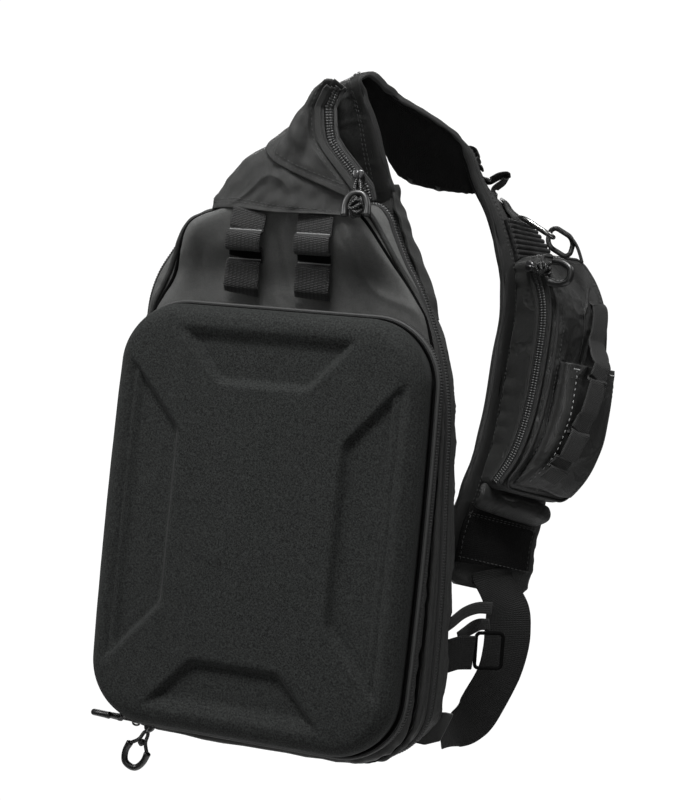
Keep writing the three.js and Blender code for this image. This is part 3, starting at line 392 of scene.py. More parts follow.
def cord_grid(path, radius, sides=10, closed=False):
    """Circles square to a path."""
    if closed:
        ahead = np.roll(path, -1, 0) - np.roll(path, 1, 0)
        ahead /= np.linalg.norm(ahead, axis=1, keepdims=True)
    else:
        ahead = np.gradient(path, axis=0)
        ahead /= np.maximum(np.linalg.norm(ahead, axis=1, keepdims=True), 1e-9)
    plane = path - path.mean(0)
    guide = np.linalg.svd(plane, full_matrices=False)[2][2]
    side = np.cross(ahead, guide)
    side /= np.maximum(np.linalg.norm(side, axis=1, keepdims=True), 1e-9)
    up = np.cross(side, ahead)
    angle = np.arange(sides) * 2 * np.pi / sides
    ring = np.stack([np.cos(angle), np.sin(angle)], 1) * np.broadcast_to(radius, len(path))[:, None, None]
    return carry(path, side, up, ring)


def cord(name, path, radius, paint, slot, nodes=(), sides=10, closed=False):
    """A round cord along a path, with fans over its two ends."""
    return grid_piece(name, cord_grid(path, radius, sides, closed), paint, slot, nodes, wrap=(closed, True),
                      capped=not closed)


# %% Copies of one small shape
def scatter(name, shape, faces, at, axes, paint, slot):
    """Copy k of a small shape = at k + its numbers along the three axes of copy k."""
    count, size = len(at), len(shape)
    points = at[:, None] + np.einsum("pc,kcx->kpx", shape, axes)
    index = (faces[None] + (np.arange(count) * size)[:, None, None]).reshape(-1, faces.shape[1])
    mesh = bpy.data.meshes.new(name)
    mesh.from_pydata(to_frame(points.reshape(-1, 3)).tolist(), [], index.tolist())
    mesh.polygons.foreach_set("use_smooth", np.ones(len(mesh.polygons), bool))
    mesh.materials.append(paint)
    piece = bpy.data.objects.new(name, mesh)
    scene.collection.objects.link(piece)
    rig.ride(piece, "root")
    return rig.slot(piece, slot)


SIDES_OF_STITCH = 5
STITCH_TURN = np.arange(SIDES_OF_STITCH) * 2 * np.pi / SIDES_OF_STITCH
STITCH_RINGS = [np.stack([np.full(SIDES_OF_STITCH, x), 0.5 * r * np.cos(STITCH_TURN),
                          0.5 * r * np.sin(STITCH_TURN)], 1) for x, r in ((-0.4, 0.7), (0, 1), (0.4, 0.7))]
STITCH = np.concatenate([[[-0.5, 0, 0]], *STITCH_RINGS, [[0.5, 0, 0]]])
STITCH_STEPS = [(k, (k + 1) % SIDES_OF_STITCH) for k in range(SIDES_OF_STITCH)]
STITCH_BELTS = ((1, 6), (6, 11))  # the first points of two neighbouring rings
STITCH_FACES = np.array([[0, 1 + n, 1 + k] for k, n in STITCH_STEPS]
                        + [[a + k, a + n, b + n] for a, b in STITCH_BELTS for k, n in STITCH_STEPS]
                        + [[a + k, b + n, b + k] for a, b in STITCH_BELTS for k, n in STITCH_STEPS]
                        + [[16, 11 + k, 11 + n] for k, n in STITCH_STEPS])
print("A stitch has", len(STITCH), "points and", len(STITCH_FACES), "faces")


def stitches(name, lines, out, pitch=3.4, length=2.3, thread=0.55, paint=None):
    """A row of spindles along each line of points, one every pitch."""
    places, axes = [], []
    for line, away in zip(lines, out):
        reach = np.linalg.norm(np.diff(line, axis=0), axis=1).sum()
        count = max(int(reach / pitch), 2)
        both = evenly(np.concatenate([line, np.broadcast_to(away, line.shape)], 1), count)
        at, up = both[:, :3], both[:, 3:]
        ahead, side, up = frames(at, np.cross(up, np.gradient(at, axis=0)))
        places.append(at)
        axes.append(np.stack([ahead * length, side * thread, up * thread], 1))
    return scatter(name, STITCH, STITCH_FACES, np.concatenate(places), np.concatenate(axes),
                   paint or thread_paint, "webbing")


# %% A zip's coil
def zip_coil(name, path, across, width=5.5, height=1.7, pitch=2.1, closed=False):
    """Height = dome over the width, less a groove in the middle, times a beat along the path."""
    length = np.linalg.norm(np.diff(path, axis=0), axis=1).sum()
    teeth = max(int(length / pitch), 4)
    both = evenly(np.concatenate([path, across], 1), teeth * 4, closed)
    ahead, side, out = frames(both[:, :3], both[:, 3:])
    if closed:
        ends = np.roll(both[:, :3], -1, 0) - np.roll(both[:, :3], 1, 0)
        ends /= np.linalg.norm(ends, axis=1, keepdims=True)
        side = both[:, 3:] - (both[:, 3:] * ends).sum(1, keepdims=True) * ends
        side /= np.linalg.norm(side, axis=1, keepdims=True)
        out = np.cross(ends, side)
    s = np.array([-0.5, -0.47, -0.36, -0.2, -0.06, 0, 0.06, 0.2, 0.36, 0.47, 0.5])
    dome = np.array([0, 0.45, 0.85, 1, 0.9, 0.55, 0.9, 1, 0.85, 0.45, 0])
    beat = np.array([0.45, 0.85, 1.0, 0.85])[np.arange(len(both)) % 4]
    top = np.stack([np.broadcast_to(s * width, (len(both), len(s))), beat[:, None] * dome * height], -1)
    low = np.stack([np.broadcast_to(s[::-1] * width, (len(both), len(s))),
                    np.full((len(both), len(s)), -0.6)], -1)
    grid = carry(both[:, :3], side, out, np.concatenate([top, low], 1))
    return grid_piece(name, grid, coil_paint, "zip_tape", wrap=(closed, True), capped=not closed)


# %% [markdown]
# ## Finishes
# Everything on the bag is nearly black, so the finishes differ in grain and gloss. Shader maths is written
# as Python expressions on a small class that wraps a socket. Threads and ribs follow the piece's UV map,
# which is in millimetres. Felt, plastic, mottling and wrinkles are noise in Object coordinates.

# %% Shader maths as expressions
class Value:
    """A socket that adds Math nodes when it is used in an expression."""

    def __init__(self, paint, socket):
        self.paint, self.socket = paint, socket

    def maths(self, operation, other=0.0, swap=False):
        a, b = (other, self) if swap else (self, other)
        return self.paint.node("ShaderNodeMath", {"operation": operation}, {0: a, 1: b})

    def __add__(self, other): return self.maths("ADD", other)
    def __radd__(self, other): return self.maths("ADD", other, True)
    def __sub__(self, other): return self.maths("SUBTRACT", other)
    def __rsub__(self, other): return self.maths("SUBTRACT", other, True)
    def __mul__(self, other): return self.maths("MULTIPLY", other)
    def __rmul__(self, other): return self.maths("MULTIPLY", other, True)
    def __pow__(self, other): return self.maths("POWER", other)
    def sine(self): return self.maths("SINE")
    def size(self): return self.maths("ABSOLUTE")
    def most(self, other): return self.maths("MAXIMUM", other)
    def least(self, other): return self.maths("MINIMUM", other)


class Paint:
    """A material under construction: its tree, its shader, and one method for any other node."""

    def __init__(self, name, roughness, specular=0.5, sheen=0.0, metallic=0.0, coat=0.0):
        self.material = bpy.data.materials.new(name)
        self.material.use_nodes = True
        self.tree = self.material.node_tree
        self.shader = self.tree.nodes["Principled BSDF"]
        for socket, number in (("Roughness", roughness), ("Specular IOR Level", specular), ("Metallic", metallic),
                               ("Sheen Weight", sheen), ("Sheen Roughness", 0.45), ("Coat Weight", coat)):
            self.shader.inputs[socket].default_value = number

    def node(self, kind, settings, sockets, out=0):
        """Any node: its settings first, then a link or a number for each named socket."""
        made = self.tree.nodes.new(kind)
        for key, setting in settings.items():
            setattr(made, key, setting)
        for key, value in sockets.items():
            if isinstance(value, Value):
                self.tree.links.new(value.socket, made.inputs[key])
            else:
                made.inputs[key].default_value = value
        return Value(self, made.outputs[out])

    def uv(self):
        """The UV map's two coordinates, in millimetres."""
        place = self.node("ShaderNodeUVMap", {"uv_map": "UVMap"}, {})
        split = self.node("ShaderNodeSeparateXYZ", {}, {0: place})
        return split, Value(self, split.socket.node.outputs[1])

    def place(self):
        """Object coordinates, in metres, because every piece sits at the origin."""
        return self.node("ShaderNodeTexCoord", {}, {}, "Object")

    def noise(self, vector, scale, detail=3.0, rough=0.55):
        """Noise from 0 to 1. Its scale is in waves a metre."""
        return self.node("ShaderNodeTexNoise", {}, {"Vector": vector, "Scale": scale, "Detail": detail,
                                                    "Roughness": rough})

    def tone(self, factor, dark, light):
        """A colour between two, by a factor."""
        return self.node("ShaderNodeMix", {"data_type": "RGBA"},
                         {"Factor": factor, 6: (*dark, 1), 7: (*light, 1)}, 2)

    def finish(self, colour, height=None, depth=0.0, strength=1.0, rough=None):
        """Colour, relief in millimetres through a Bump node, and roughness."""
        self.tree.links.new(colour.socket, self.shader.inputs["Base Color"])
        if height is not None:
            bump = self.node("ShaderNodeBump", {}, {"Height": height, "Distance": depth / 1000,
                                                    "Strength": strength})
            self.tree.links.new(bump.socket, self.shader.inputs["Normal"])
        if rough is not None:
            self.tree.links.new(rough.socket, self.shader.inputs["Roughness"])
        return self.material


# %% [markdown]
# ### Felt, cloth and mesh
# The shell's felt is a mat of fibres: fine speckle in colour and height, and a faint sheen. The bag's cloth
# is a plain weave of nylon, half a millimetre a thread, so from here only its slight mottling and gloss
# show. Spacer mesh is rows of small holes, drawn as bumps between dark lines. All of them are
# patterns of sines and noise. The cloth of the panel above the shell is painted lighter by its height, because
# it looks so in the photograph: this is painted light, standing in for the light that falls on it there.

# %% Felt
def felt_paint():
    """Colour = a sharpened noise of grains, with a little finer and broader noise."""
    p = Paint("shell_felt", 0.85, 0.1, 0.02)
    place = p.place()
    fine, grain, broad = p.noise(place, 2400, 2), p.noise(place, 900, 3), p.noise(place, 22, 2)
    speck = ((grain - 0.5) * 3.0 + 0.45).most(0.0).least(1.0)
    mix = speck * 0.75 + fine * 0.2 + broad * 0.05
    colour = p.tone(mix, (0.002, 0.0022, 0.0021), (0.0235, 0.0252, 0.0242))
    return p.finish(colour, grain * 0.7 + fine * 0.3, 0.35, 0.9)


# %% Woven cloth
def cloth_paint(name, dark, light, roughness, thread=0.55, depth=0.1, high=1.0, folds=0.5):
    """Woven cloth. High is how many times lighter it is painted above the shell than at the bag's foot: painted light.

    Folds, in millimetres, is the relief of small wrinkles: a slow noise less its own creased distance from
    the middle value.
    """
    p = Paint(name, roughness, 0.2, 0.03)
    u, v = p.uv()
    k = 2 * np.pi / thread
    weave = (u * k).sine() * (v * k).sine()
    place = p.place()
    mottle, patch, speck = p.noise(place, 260, 3), p.noise(place, 30, 2), p.noise(place, 1100, 2)
    mix = mottle * 0.3 + patch * 0.3 + speck * 0.5 + weave * 0.06 - 0.06
    low, top = (p.tone(mix, *(tuple(k * c for c in colour) for colour in (dark, light))) for k in (1, high))
    # Painted light: above the shell the colour turns up to high times lighter with height.
    upness = Value(p, p.node("ShaderNodeSeparateXYZ", {}, {0: place}).socket.node.outputs[2])
    share = (upness * 16 + 3.0).most(0.0).least(1.0)
    colour = p.node("ShaderNodeMix", {"data_type": "RGBA"}, {"Factor": share, 6: low, 7: top}, 2)
    wave = p.noise(place, 42, 3, 0.5)
    wrinkle = (wave - (wave - 0.5).size() * 1.4) * (folds / depth)
    relief = weave * 0.5 + mottle * 1.6 + speck * 0.5 + wrinkle
    return p.finish(colour, relief, depth, 0.9, roughness - 0.12 + mottle * 0.22)


# %% Spacer mesh
def mesh_paint(name, light):
    """Colour and relief = the size of a product of two sines: light bumps between dark lines."""
    p = Paint(name, 0.9, 0.1, 0.0)
    u, v = p.uv()
    k = 2 * np.pi / 3.4
    bumps = ((u * k).sine() * (v * k).sine()).size() ** 0.6
    strands = (u * (2 * k)).sine() * 0.15
    colour = p.tone(bumps, (light / 10,) * 3, (light,) * 3)
    return p.finish(colour, bumps + strands, 0.7, 1.0)


# %% [markdown]
# ### Webbing, tape, coil and cord
# Webbing has ribs along it and a finer beat across them. A zip's tape is a flat twill, and its coil a
# glossier nylon. The cord of the pulls has the same pattern at the pitch of a braid, with a wetter gloss.

# %% Webbing, tape and cord
def webbing_paint(name, rib, beat, dark, light, depth, roughness=0.68, specular=0.3):
    """Height = a sine along (beat), one over (rib) and one slanting. It mixes the two tones, with a noise."""
    p = Paint(name, roughness, specular, 0.1 * specular)
    u, v = p.uv()
    along, over = (u * (2 * np.pi / beat)).sine(), (v * (2 * np.pi / rib)).sine()
    twill = ((u * (2 * np.pi / beat)) + (v * (np.pi / rib))).sine()
    height = along * 0.45 + over * 0.3 + twill * 0.25
    mottle = p.noise(p.place(), 420, 2)
    mix = height * 0.5 + mottle * 0.5 + 0.2
    return p.finish(p.tone(mix, dark, light), height, depth, 0.9)


def plain_paint(name, colour, roughness, metallic=0.0, specular=0.5, coat=0.0, grain=0.02, scale=900):
    """One colour, about a quarter darker or lighter by noise, with a fine grain."""
    p = Paint(name, roughness, specular, 0.0, metallic, coat)
    noise, broad = p.noise(p.place(), scale, 3), p.noise(p.place(), 60, 2)
    dark = tuple(0.72 * c for c in colour)
    return p.finish(p.tone(noise * 0.5 + broad * 0.5, dark, tuple(1.25 * c for c in colour)), noise, grain, 0.6,
                    roughness - 0.07 + broad * 0.16)


felt = felt_paint()
cloth = cloth_paint("bag_cloth", (0.0075, 0.0076, 0.0074), (0.03, 0.0304, 0.0295), 0.6)
# The panel's cloth is painted up to 2.8 times lighter above the shell: painted light.
panel_cloth_painted_light = cloth_paint("panel_cloth_painted_light", (0.0085, 0.0086, 0.0084), (0.034, 0.0344, 0.0335), 0.6, high=2.8)
pocket_cloth = cloth_paint("pocket_cloth", (0.003, 0.003, 0.003), (0.023, 0.0234, 0.0226), 0.44, folds=3.0)
strap_cloth = cloth_paint("strap_cloth", (0.0045, 0.0046, 0.0045), (0.02, 0.0203, 0.0197), 0.5, folds=1.6)
spacer, back_mesh = mesh_paint("spacer_mesh", 0.004), mesh_paint("back_mesh", 0.04)
webbing = webbing_paint("webbing", 1.5, 1.15, (0.003, 0.003, 0.003), (0.019, 0.0192, 0.0187), 0.3)
side_web = webbing_paint("side_webbing_weave", 1.3, 1.3, (0.002, 0.002, 0.002), (0.012, 0.0122, 0.0119),
                         0.3, 0.75, 0.12)
# The patch's weave is a darker copy of the webbing: painted shade under the flap.
patch_web_painted_shade = webbing_paint("patch_weave_painted_shade", 1.5, 1.2, (0.0008, 0.0008, 0.0008), (0.0058, 0.0058, 0.0057),
                          0.3, 0.85, 0.08)
elastic = webbing_paint("elastic_weave", 0.9, 0.8, (0.002, 0.002, 0.002), (0.013, 0.0132, 0.013), 0.2)
tape = webbing_paint("zip_tape", 0.8, 0.7, (0.003, 0.003, 0.003), (0.013, 0.0132, 0.013), 0.1, 0.74)
binding = webbing_paint("binding", 0.9, 0.75, (0.003, 0.0031, 0.003), (0.016, 0.0162, 0.0158), 0.14, 0.6)
cord_paint = webbing_paint("braided_cord", 1.0, 1.4, (0.003, 0.003, 0.003), (0.02, 0.0202, 0.0198), 0.25, 0.26)
thread_paint = plain_paint("thread", (0.035, 0.0355, 0.035), 0.6, specular=0.3)
tack_paint = plain_paint("tack_thread", (0.22, 0.222, 0.22), 0.6, specular=0.3)
coil_paint = plain_paint("zip_coil", (0.012, 0.0122, 0.012), 0.42, specular=0.35)
rim_paint = plain_paint("rim_cord", (0.022, 0.0225, 0.022), 0.6, specular=0.3, grain=0.05)
buckle_paint = plain_paint("buckle_plastic", (0.002, 0.002, 0.002), 0.9, specular=0.03)
plastic = plain_paint("moulded_plastic", (0.004, 0.0041, 0.004), 0.36, specular=0.45, grain=0.03)
# Near-black, for cords and strips put where gaps and overhangs are in shade: painted shade.
painted_shade = plain_paint("seam_shadow", (0.0012, 0.0012, 0.0012), 0.95, specular=0.05)
enamel = plain_paint("black_enamel", (0.012, 0.012, 0.0125), 0.28, coat=0.3)
nickel = plain_paint("satin_nickel", (0.3, 0.3, 0.295), 0.24, metallic=1.0, grain=0.01)
print("Finishes made:", len(bpy.data.materials))


# %% [markdown]
# ## The moulded shell
# The front is foam with felt, pressed in a mould: a low dome with a rounded edge, and four recesses that
# leave a raised cross. Here it is a stack of rounded rectangles, from the middle of the hollow side out
# over the rim to the middle of the face. Its height is the lesser of two functions: the dome by distance
# from the edge, and a plateau less the recesses.

# %% The shell's own plane
SHELL_WIDTH, SHELL_HEIGHT, SHELL_CORNER, SHELL_BOW, SHELL_RISE, SHELL_WALL = 239, 308, 47, 3, 24, 3.5
LEAN = np.radians(6)
SHELL_CENTRE = np.array([0, -65, 160.0])
SHELL_UP = np.array([0, np.sin(LEAN), np.cos(LEAN)])
SHELL_OUT = np.array([0, -np.cos(LEAN), np.sin(LEAN)])
SHELL_EDGE = 26.4  # the rounded edge reaches this far in
AROUND = 520


def on_shell(x, z, out):
    """Across, up along the lean, and forwards out of the rim."""
    return (SHELL_CENTRE + np.stack([x, 0 * x, 0 * x], -1) + np.asarray(z)[..., None] * SHELL_UP
            + np.asarray(out)[..., None] * SHELL_OUT)


def rounded(width, height, corner, count):
    """Points at equal steps round a rectangle with round corners, anticlockwise from its lower right."""
    angle = np.radians(np.linspace(-90, 0, 24))
    arc = np.stack([np.cos(angle), np.sin(angle)], 1) * corner
    w, h = width / 2 - corner, height / 2 - corner
    whole = []
    for quarter, (i, j) in enumerate([(1, -1), (1, 1), (-1, 1), (-1, -1)]):
        c, s = np.cos(np.pi / 2 * quarter), np.sin(np.pi / 2 * quarter)
        whole.append(arc @ np.array([[c, s], [-s, c]]) + [i * w, j * h])
    return evenly(np.concatenate(whole), count, True)


def rim_ring(inset, out, count=AROUND):
    """A ring parallel to the rim: inset inwards, out forwards. Its sides bow out a little."""
    ring = rounded(SHELL_WIDTH - 2 * inset, SHELL_HEIGHT - 2 * inset, max(SHELL_CORNER - inset, 2), count)
    x, z = ring[:, 0], ring[:, 1]
    x = x + 2 * SHELL_BOW * x / SHELL_WIDTH * (1 - (2 * z / SHELL_HEIGHT) ** 2)
    return on_shell(x, z, np.full(count, float(out)))


# %% Recesses between the arms of the cross
RECESSES = [  # sign, upright, inner edge, its half length, outer edge, its half length, in millimetres
    (1, True, 66.5, 62, 109, 111), (-1, True, 63.5, 62, 107, 111),
    (1, False, 99.5, 33, 136.5, 67), (-1, False, 101, 33, 137, 67),
]
RECESS_DEPTH, BEVEL = 6.2, 6.4


def recess_depth(x, z):
    """For each recess: the greatest of the distances to its four sides, smoothed, made a soft step,
    times a slow rise of its floor towards the rim."""
    depth = 0
    for sign, upright, inner, inner_half, outer, outer_half in RECESSES:
        main, cross = (sign * x, z) if upright else (sign * z, x)
        run, rise = outer - inner, outer_half - inner_half
        slope = np.hypot(run, rise)
        sides = [inner - main, main - outer,
                 (run * (cross - inner_half) - rise * (main - inner)) / slope,
                 (run * (-cross - inner_half) - rise * (main - inner)) / slope]
        blend = 1.2
        distance = blend * np.log(sum(np.exp(np.clip(s / blend, -60, 60)) for s in sides))
        depth = depth + RECESS_DEPTH * (1 - soft((distance + 2.0) / BEVEL)) * soft((outer + 3 - main) / 15)
    return depth


print("A recess at its middle:", np.round(recess_depth(np.array([90.0]), np.array([0.0])), 1), "mm deep")


def dome(inset):
    """Height over the rim at a distance in from it: a short wall, then a quarter of an ellipse."""
    straight = np.interp(inset, [0, 2.4, 8.4, 16.8, SHELL_EDGE, 200], [0.33, 0.62, 0.85, 0.96, 1, 1])
    quarter = 0.33 + 0.67 * np.sqrt(np.clip(1 - (1 - np.clip(inset / 24, 0, 1)) ** 2.6, 0, 1))
    return SHELL_RISE * (0.35 * straight + 0.65 * quarter)


# %% The shell
def felt_ring(inset, out):
    """A ring of the felt, which stops short of the rim, most at its sides, so that the zip shows."""
    ring = rim_ring(inset + 2.4, out)
    ring[:, 0] *= 0.983
    return ring


def shell_grid():
    """Rings from the middle of the hollow side, over the lip and the wall, to the middle of the face."""
    wall = np.linspace(-0.1, 0.33, 7)[:-1] * SHELL_RISE
    insets = np.linspace(0, 1, 26) ** 1.6 * SHELL_EDGE
    outer = [felt_ring(0, out) for out in wall] + [felt_ring(i, dome(i)) for i in insets]
    face = felt_ring(SHELL_EDGE, SHELL_RISE)
    middle = on_shell(np.zeros(1), np.zeros(1), np.full(1, float(SHELL_RISE)))
    inner_face = [middle + (face - middle) * share for share in np.linspace(1, 0.012, 66)[1:]]
    front = np.array(outer + inner_face)
    x, up, out = front[..., 0], (front - SHELL_CENTRE) @ SHELL_UP, (front - SHELL_CENTRE) @ SHELL_OUT
    plateau = SHELL_RISE - recess_depth(x, up) - 0.9 * ((x / 120) ** 2 + (up / (SHELL_HEIGHT / 2)) ** 2)
    blend = 1.5
    height = -blend * np.log(np.exp(-out / blend) + np.exp(-plateau / blend))
    height = np.where(np.arange(len(front))[:, None] < len(wall) + 1, out, height)
    height += 0.12 * ripple(x, up, 26, 3)
    front = front + (height - out)[..., None] * SHELL_OUT
    hollow = [felt_ring(SHELL_WALL + i, max(dome(i) - SHELL_WALL, 0)) for i in np.linspace(0, SHELL_EDGE, 9)]
    behind = hollow[-1]
    centre = behind.mean(0)
    hollow += [centre + (behind - centre) * share - 1.6 * SHELL_OUT for share in np.linspace(1, 0.02, 22)[1:]]
    low = (np.array(hollow) - SHELL_CENTRE) @ SHELL_UP
    side = np.array(hollow)[..., 0]
    pressed = (np.arange(len(hollow)) > 5)[:, None, None]
    hollow = np.array(hollow) - pressed * recess_depth(side, low)[..., None] * SHELL_OUT
    lip = [felt_ring(2.6, -2.9), felt_ring(0.9, -2.9)]
    return np.concatenate([hollow[::-1], np.array(lip), front])


shell = grid_piece("front_shell_felt", shell_grid(), felt, "shell_felt", "front_shell", (False, True), True)
print("Shell faces:", len(shell.data.polygons))

# %% [markdown]
# ### The zip round the shell
# Behind the rim stands a tape on edge, with a coil zip round it. The tape is a closed band: four rings
# parallel to the rim. The coil is carried round the same ring, a little further out. A near-black cord of
# painted shade, in the gap between the felt and the tape, and two beads, one on each side of the coil, finish the
# edge.

# %% The shell's zip
def band(name, rings, paint, slot, nodes=()):
    """A closed band: rings round its section, each of them closed too."""
    return grid_piece(name, np.array(rings), paint, slot, nodes, wrap=(True, True))


band("shell_tape", [rim_ring(1, -0.3), rim_ring(0.8, -7), rim_ring(1, -13.7), rim_ring(2.8, -13.7),
                    rim_ring(2.6, -7), rim_ring(2.8, -0.3)], tape, "zip_tape", "shell_zip_tape")
out_of_rim = rim_ring(0, 0) - rim_ring(4, 0)
out_of_rim /= np.linalg.norm(out_of_rim, axis=1, keepdims=True)
across_rim = np.broadcast_to(SHELL_OUT, (AROUND, 3))


def ring_coil(name, path, across, outward, **sizes):
    """A closed coil whose rounded side is turned to where outward points."""
    piece = zip_coil(name, path, across, closed=True, **sizes)
    middle = np.array(piece.data.vertices[5].co) - to_frame(path[0])
    if middle @ outward[0] < 0:
        bpy.data.objects.remove(piece)
        piece = zip_coil(name, path, -across, closed=True, **sizes)
    return piece


ring_coil("shell_coil", rim_ring(0.9, -9.6), across_rim, out_of_rim, width=5.4, height=1.8)
# A near-black cord in the gap between the felt and the tape: painted shade.
cord("shell_rim_painted_shade", rim_ring(2.1, -0.7), 1.0, painted_shade, "zip_tape", closed=True)
for name, inset, out, size in (("shell_bead_front", 0.3, -2.6, 1.25), ("shell_bead_back", 1.0, -14.2, 0.9)):
    cord(name, rim_ring(inset, out), size, rim_paint, "zip_tape", closed=True)
tell("With the shell's zip")

# %% [markdown]
# ## The body
# Two cups of cloth meet at the main zip. Seen from the front they share one outline, which a table gives
# by height. Each cup is a stack of rings between the outline at the zip and the panel in front or behind,
# smoothed along its depth, then pushed in and out by folds that fade towards the seams.

# %% The body's outline
HALF, TALL, ROUND_CORNER = 119.5, 390, 42
SIDES = np.array([  # share of the height; left and right at the back; left and right at the front
    (0.12, -1, 1.06, -0.985, 0.99), (0.3, -1, 1.065, -0.995, 1.005), (0.5, -1, 1.035, -0.995, 1),
    (0.64, -1, 1.01, -0.985, 0.98), (0.73, -1, 0.955, -0.94, 0.925), (0.8, -0.995, 0.865, -0.84, 0.84),
    (0.85, -0.95, 0.79, -0.725, 0.75), (0.9, -0.85, 0.69, -0.68, 0.62), (0.95, -0.75, 0.61, -0.6, 0.48),
    (0.98, -0.53, 0.57, -0.4, 0.37), (1, -0.38, 0.5, -0.29, 0.28)])
RING = 420


def outline(front, inset):
    """The outline as (x, z): lower right corner, right side, top, left side, lower left corner."""
    edge = (SIDES[:, 1:3] * (1 - front) + SIDES[:, 3:5] * front) * HALF
    left, right = edge[:, 0], edge[:, 1]
    angle = np.radians(np.linspace(-90, 0, 6))
    low = ROUND_CORNER + ROUND_CORNER * np.sin(angle)
    rows = [np.stack([right[0] - ROUND_CORNER + ROUND_CORNER * np.cos(angle), low], 1),
            np.stack([right[1:], SIDES[1:, 0] * TALL], 1)]
    share = np.linspace(0, 1, 6)[1:-1]
    rows.append(np.stack([right[-1] + (left[-1] - right[-1]) * share, np.full(4, TALL)], 1))
    rows.append(np.stack([left[:0:-1], SIDES[:0:-1, 0] * TALL], 1))
    rows.append(np.stack([left[0] + ROUND_CORNER - ROUND_CORNER * np.cos(angle), low], 1)[::-1])
    whole = np.concatenate(rows)
    step = np.roll(whole, -1, 0) - np.roll(whole, 1, 0)
    step /= np.linalg.norm(step, axis=1, keepdims=True)
    whole = whole + inset * np.stack([-step[:, 1], step[:, 0]], 1)
    return round_through(whole, np.arange(RING) * len(whole) / RING)


# %% Depths by height
SHELL_TOP = SHELL_CENTRE[2] + SHELL_HEIGHT / 2 * np.cos(LEAN)
ZIP_LEAN = np.radians(3.1)
ZIP_HALF = 5.3  # from the zip's middle to the lip of each cup
CLOTH_WALL = 1.8


def zip_depth(z):
    """A plane that leans back by the zip's own angle."""
    return -29 + (z - SHELL_CENTRE[2]) * np.tan(ZIP_LEAN)


def wall_depth(z):
    """The wall behind the shell: a plane that leans with the shell."""
    return SHELL_CENTRE[1] + 14.3 / np.cos(LEAN) + (z - SHELL_CENTRE[2]) * np.tan(LEAN)


def front_depth(z):
    """The wall behind the shell, which eases over into the panel above it."""
    share = np.clip((z - SHELL_TOP - 20) / (TALL - SHELL_TOP), 0, 1)
    panel = wall_depth(SHELL_TOP) + (-47 - wall_depth(SHELL_TOP)) * soft(np.minimum(1, share * 2))
    return np.where(z < SHELL_TOP, wall_depth(z), panel)


def swell(z, share):
    """How far the upper panel stands forwards: most at its middle, nothing at its edge."""
    return 9 * (1 - share) * np.clip((z - SHELL_TOP - 20) / 20, 0, 1)


def ring_at(flat, depth):
    """An outline (x, z) with its depth y, a number or a function of height."""
    return np.stack([flat[:, 0], depth(flat[:, 1]) if callable(depth) else np.full(len(flat), float(depth)),
                     flat[:, 1]], 1)


def smooth_stack(rings, rows):
    """More rings, Catmull-Rom along the stack."""
    return through(np.array(rings), np.linspace(0, len(rings) - 1, rows))


# %% Cups with a wall
def cup_piece(name, points, away, wall, paints, slot, nodes, regions=None):
    """An outer stack of rings from lip to middle, and the same moved in by the wall, back to the middle."""
    inner = (points - away * wall)[::3]
    stack = np.concatenate([inner[::-1], points])
    if regions is not None:
        regions = np.concatenate([regions[::3][::-1], regions])
    return grid_piece(name, stack, paints, slot, nodes, (False, True), True, regions)


def facing(points, row, column, way, wrap=(False, True)):
    """Normals of a grid, turned so that the one at a known place points the known way."""
    away = normals(points, wrap)
    return away if away[row, column] @ np.array(way, float) > 0 else -away


# %% The front cup
def front_cup():
    """Rings from the lip at the zip to the middle of the panel, then folds along their normals."""
    lip = ring_at(outline(0.1, 1), lambda z: zip_depth(z) - ZIP_HALF)
    flat = outline(0.55, 1)
    lifted = ring_at(flat, lambda z: (zip_depth(z) - ZIP_HALF) * 0.4 + (front_depth(z) + 1) * 0.6)

    def face(share):
        flat = outline(1, 1) * [share, share] + [0, TALL / 2 * (1 - share)]
        return ring_at(flat, lambda z: front_depth(z) - swell(z, share))
    shares = [1, 0.9, 0.8, 0.7, 0.61, 0.52, 0.4, 0.25, 0.1, 0.02]
    points = smooth_stack([lip, lifted] + [face(s) for s in shares], 150)
    away = facing(points, 8, RING // 5, (1, 0, 0))
    x, y, z = np.moveaxis(points, -1, 0)
    row = np.linspace(0, 1, len(points))[:, None]
    free = np.clip(row * 9, 0, 1) * np.clip((z - SHELL_TOP + 30) / 40, 0, 1)
    walls = np.clip(row * 30, 0, 1) * (1 - free)
    folds = 1.3 * ripple(x, z + y, 62, 11) + 1.1 * crease(x, z + 0.6 * y, 90, 12, 1.6, 2.2)
    puckers = 0.6 * ripple(z + x, y * 2, 16, 13)
    return points + away * (free * folds + walls * puckers)[..., None], away


front_points, front_away = front_cup()
cup_piece("body_front_cloth", front_points, front_away, CLOTH_WALL, panel_cloth_painted_light, "bag_cloth", "body_front")
cord("main_welt", front_points[11] + front_away[11] * 0.9, 2.1, cloth, "bag_cloth", closed=True)
# A near-black cord sunk in the main seam: painted shade in the gap there.
cord("main_seam_painted_shade", front_points[17] - front_away[17] * 0.5, 1.7, painted_shade, "bag_cloth", closed=True)
tell("With the front cup")

# %% [markdown]
# The back cup ends in a padded panel of spacer mesh, which lies against the wearer. Its face can't be
# seen in the photograph, so it is quilted plainly: two upright channels and one across.

# %% The back cup
PAD_FROM = 3.1  # the ring at which the mesh of the pad begins


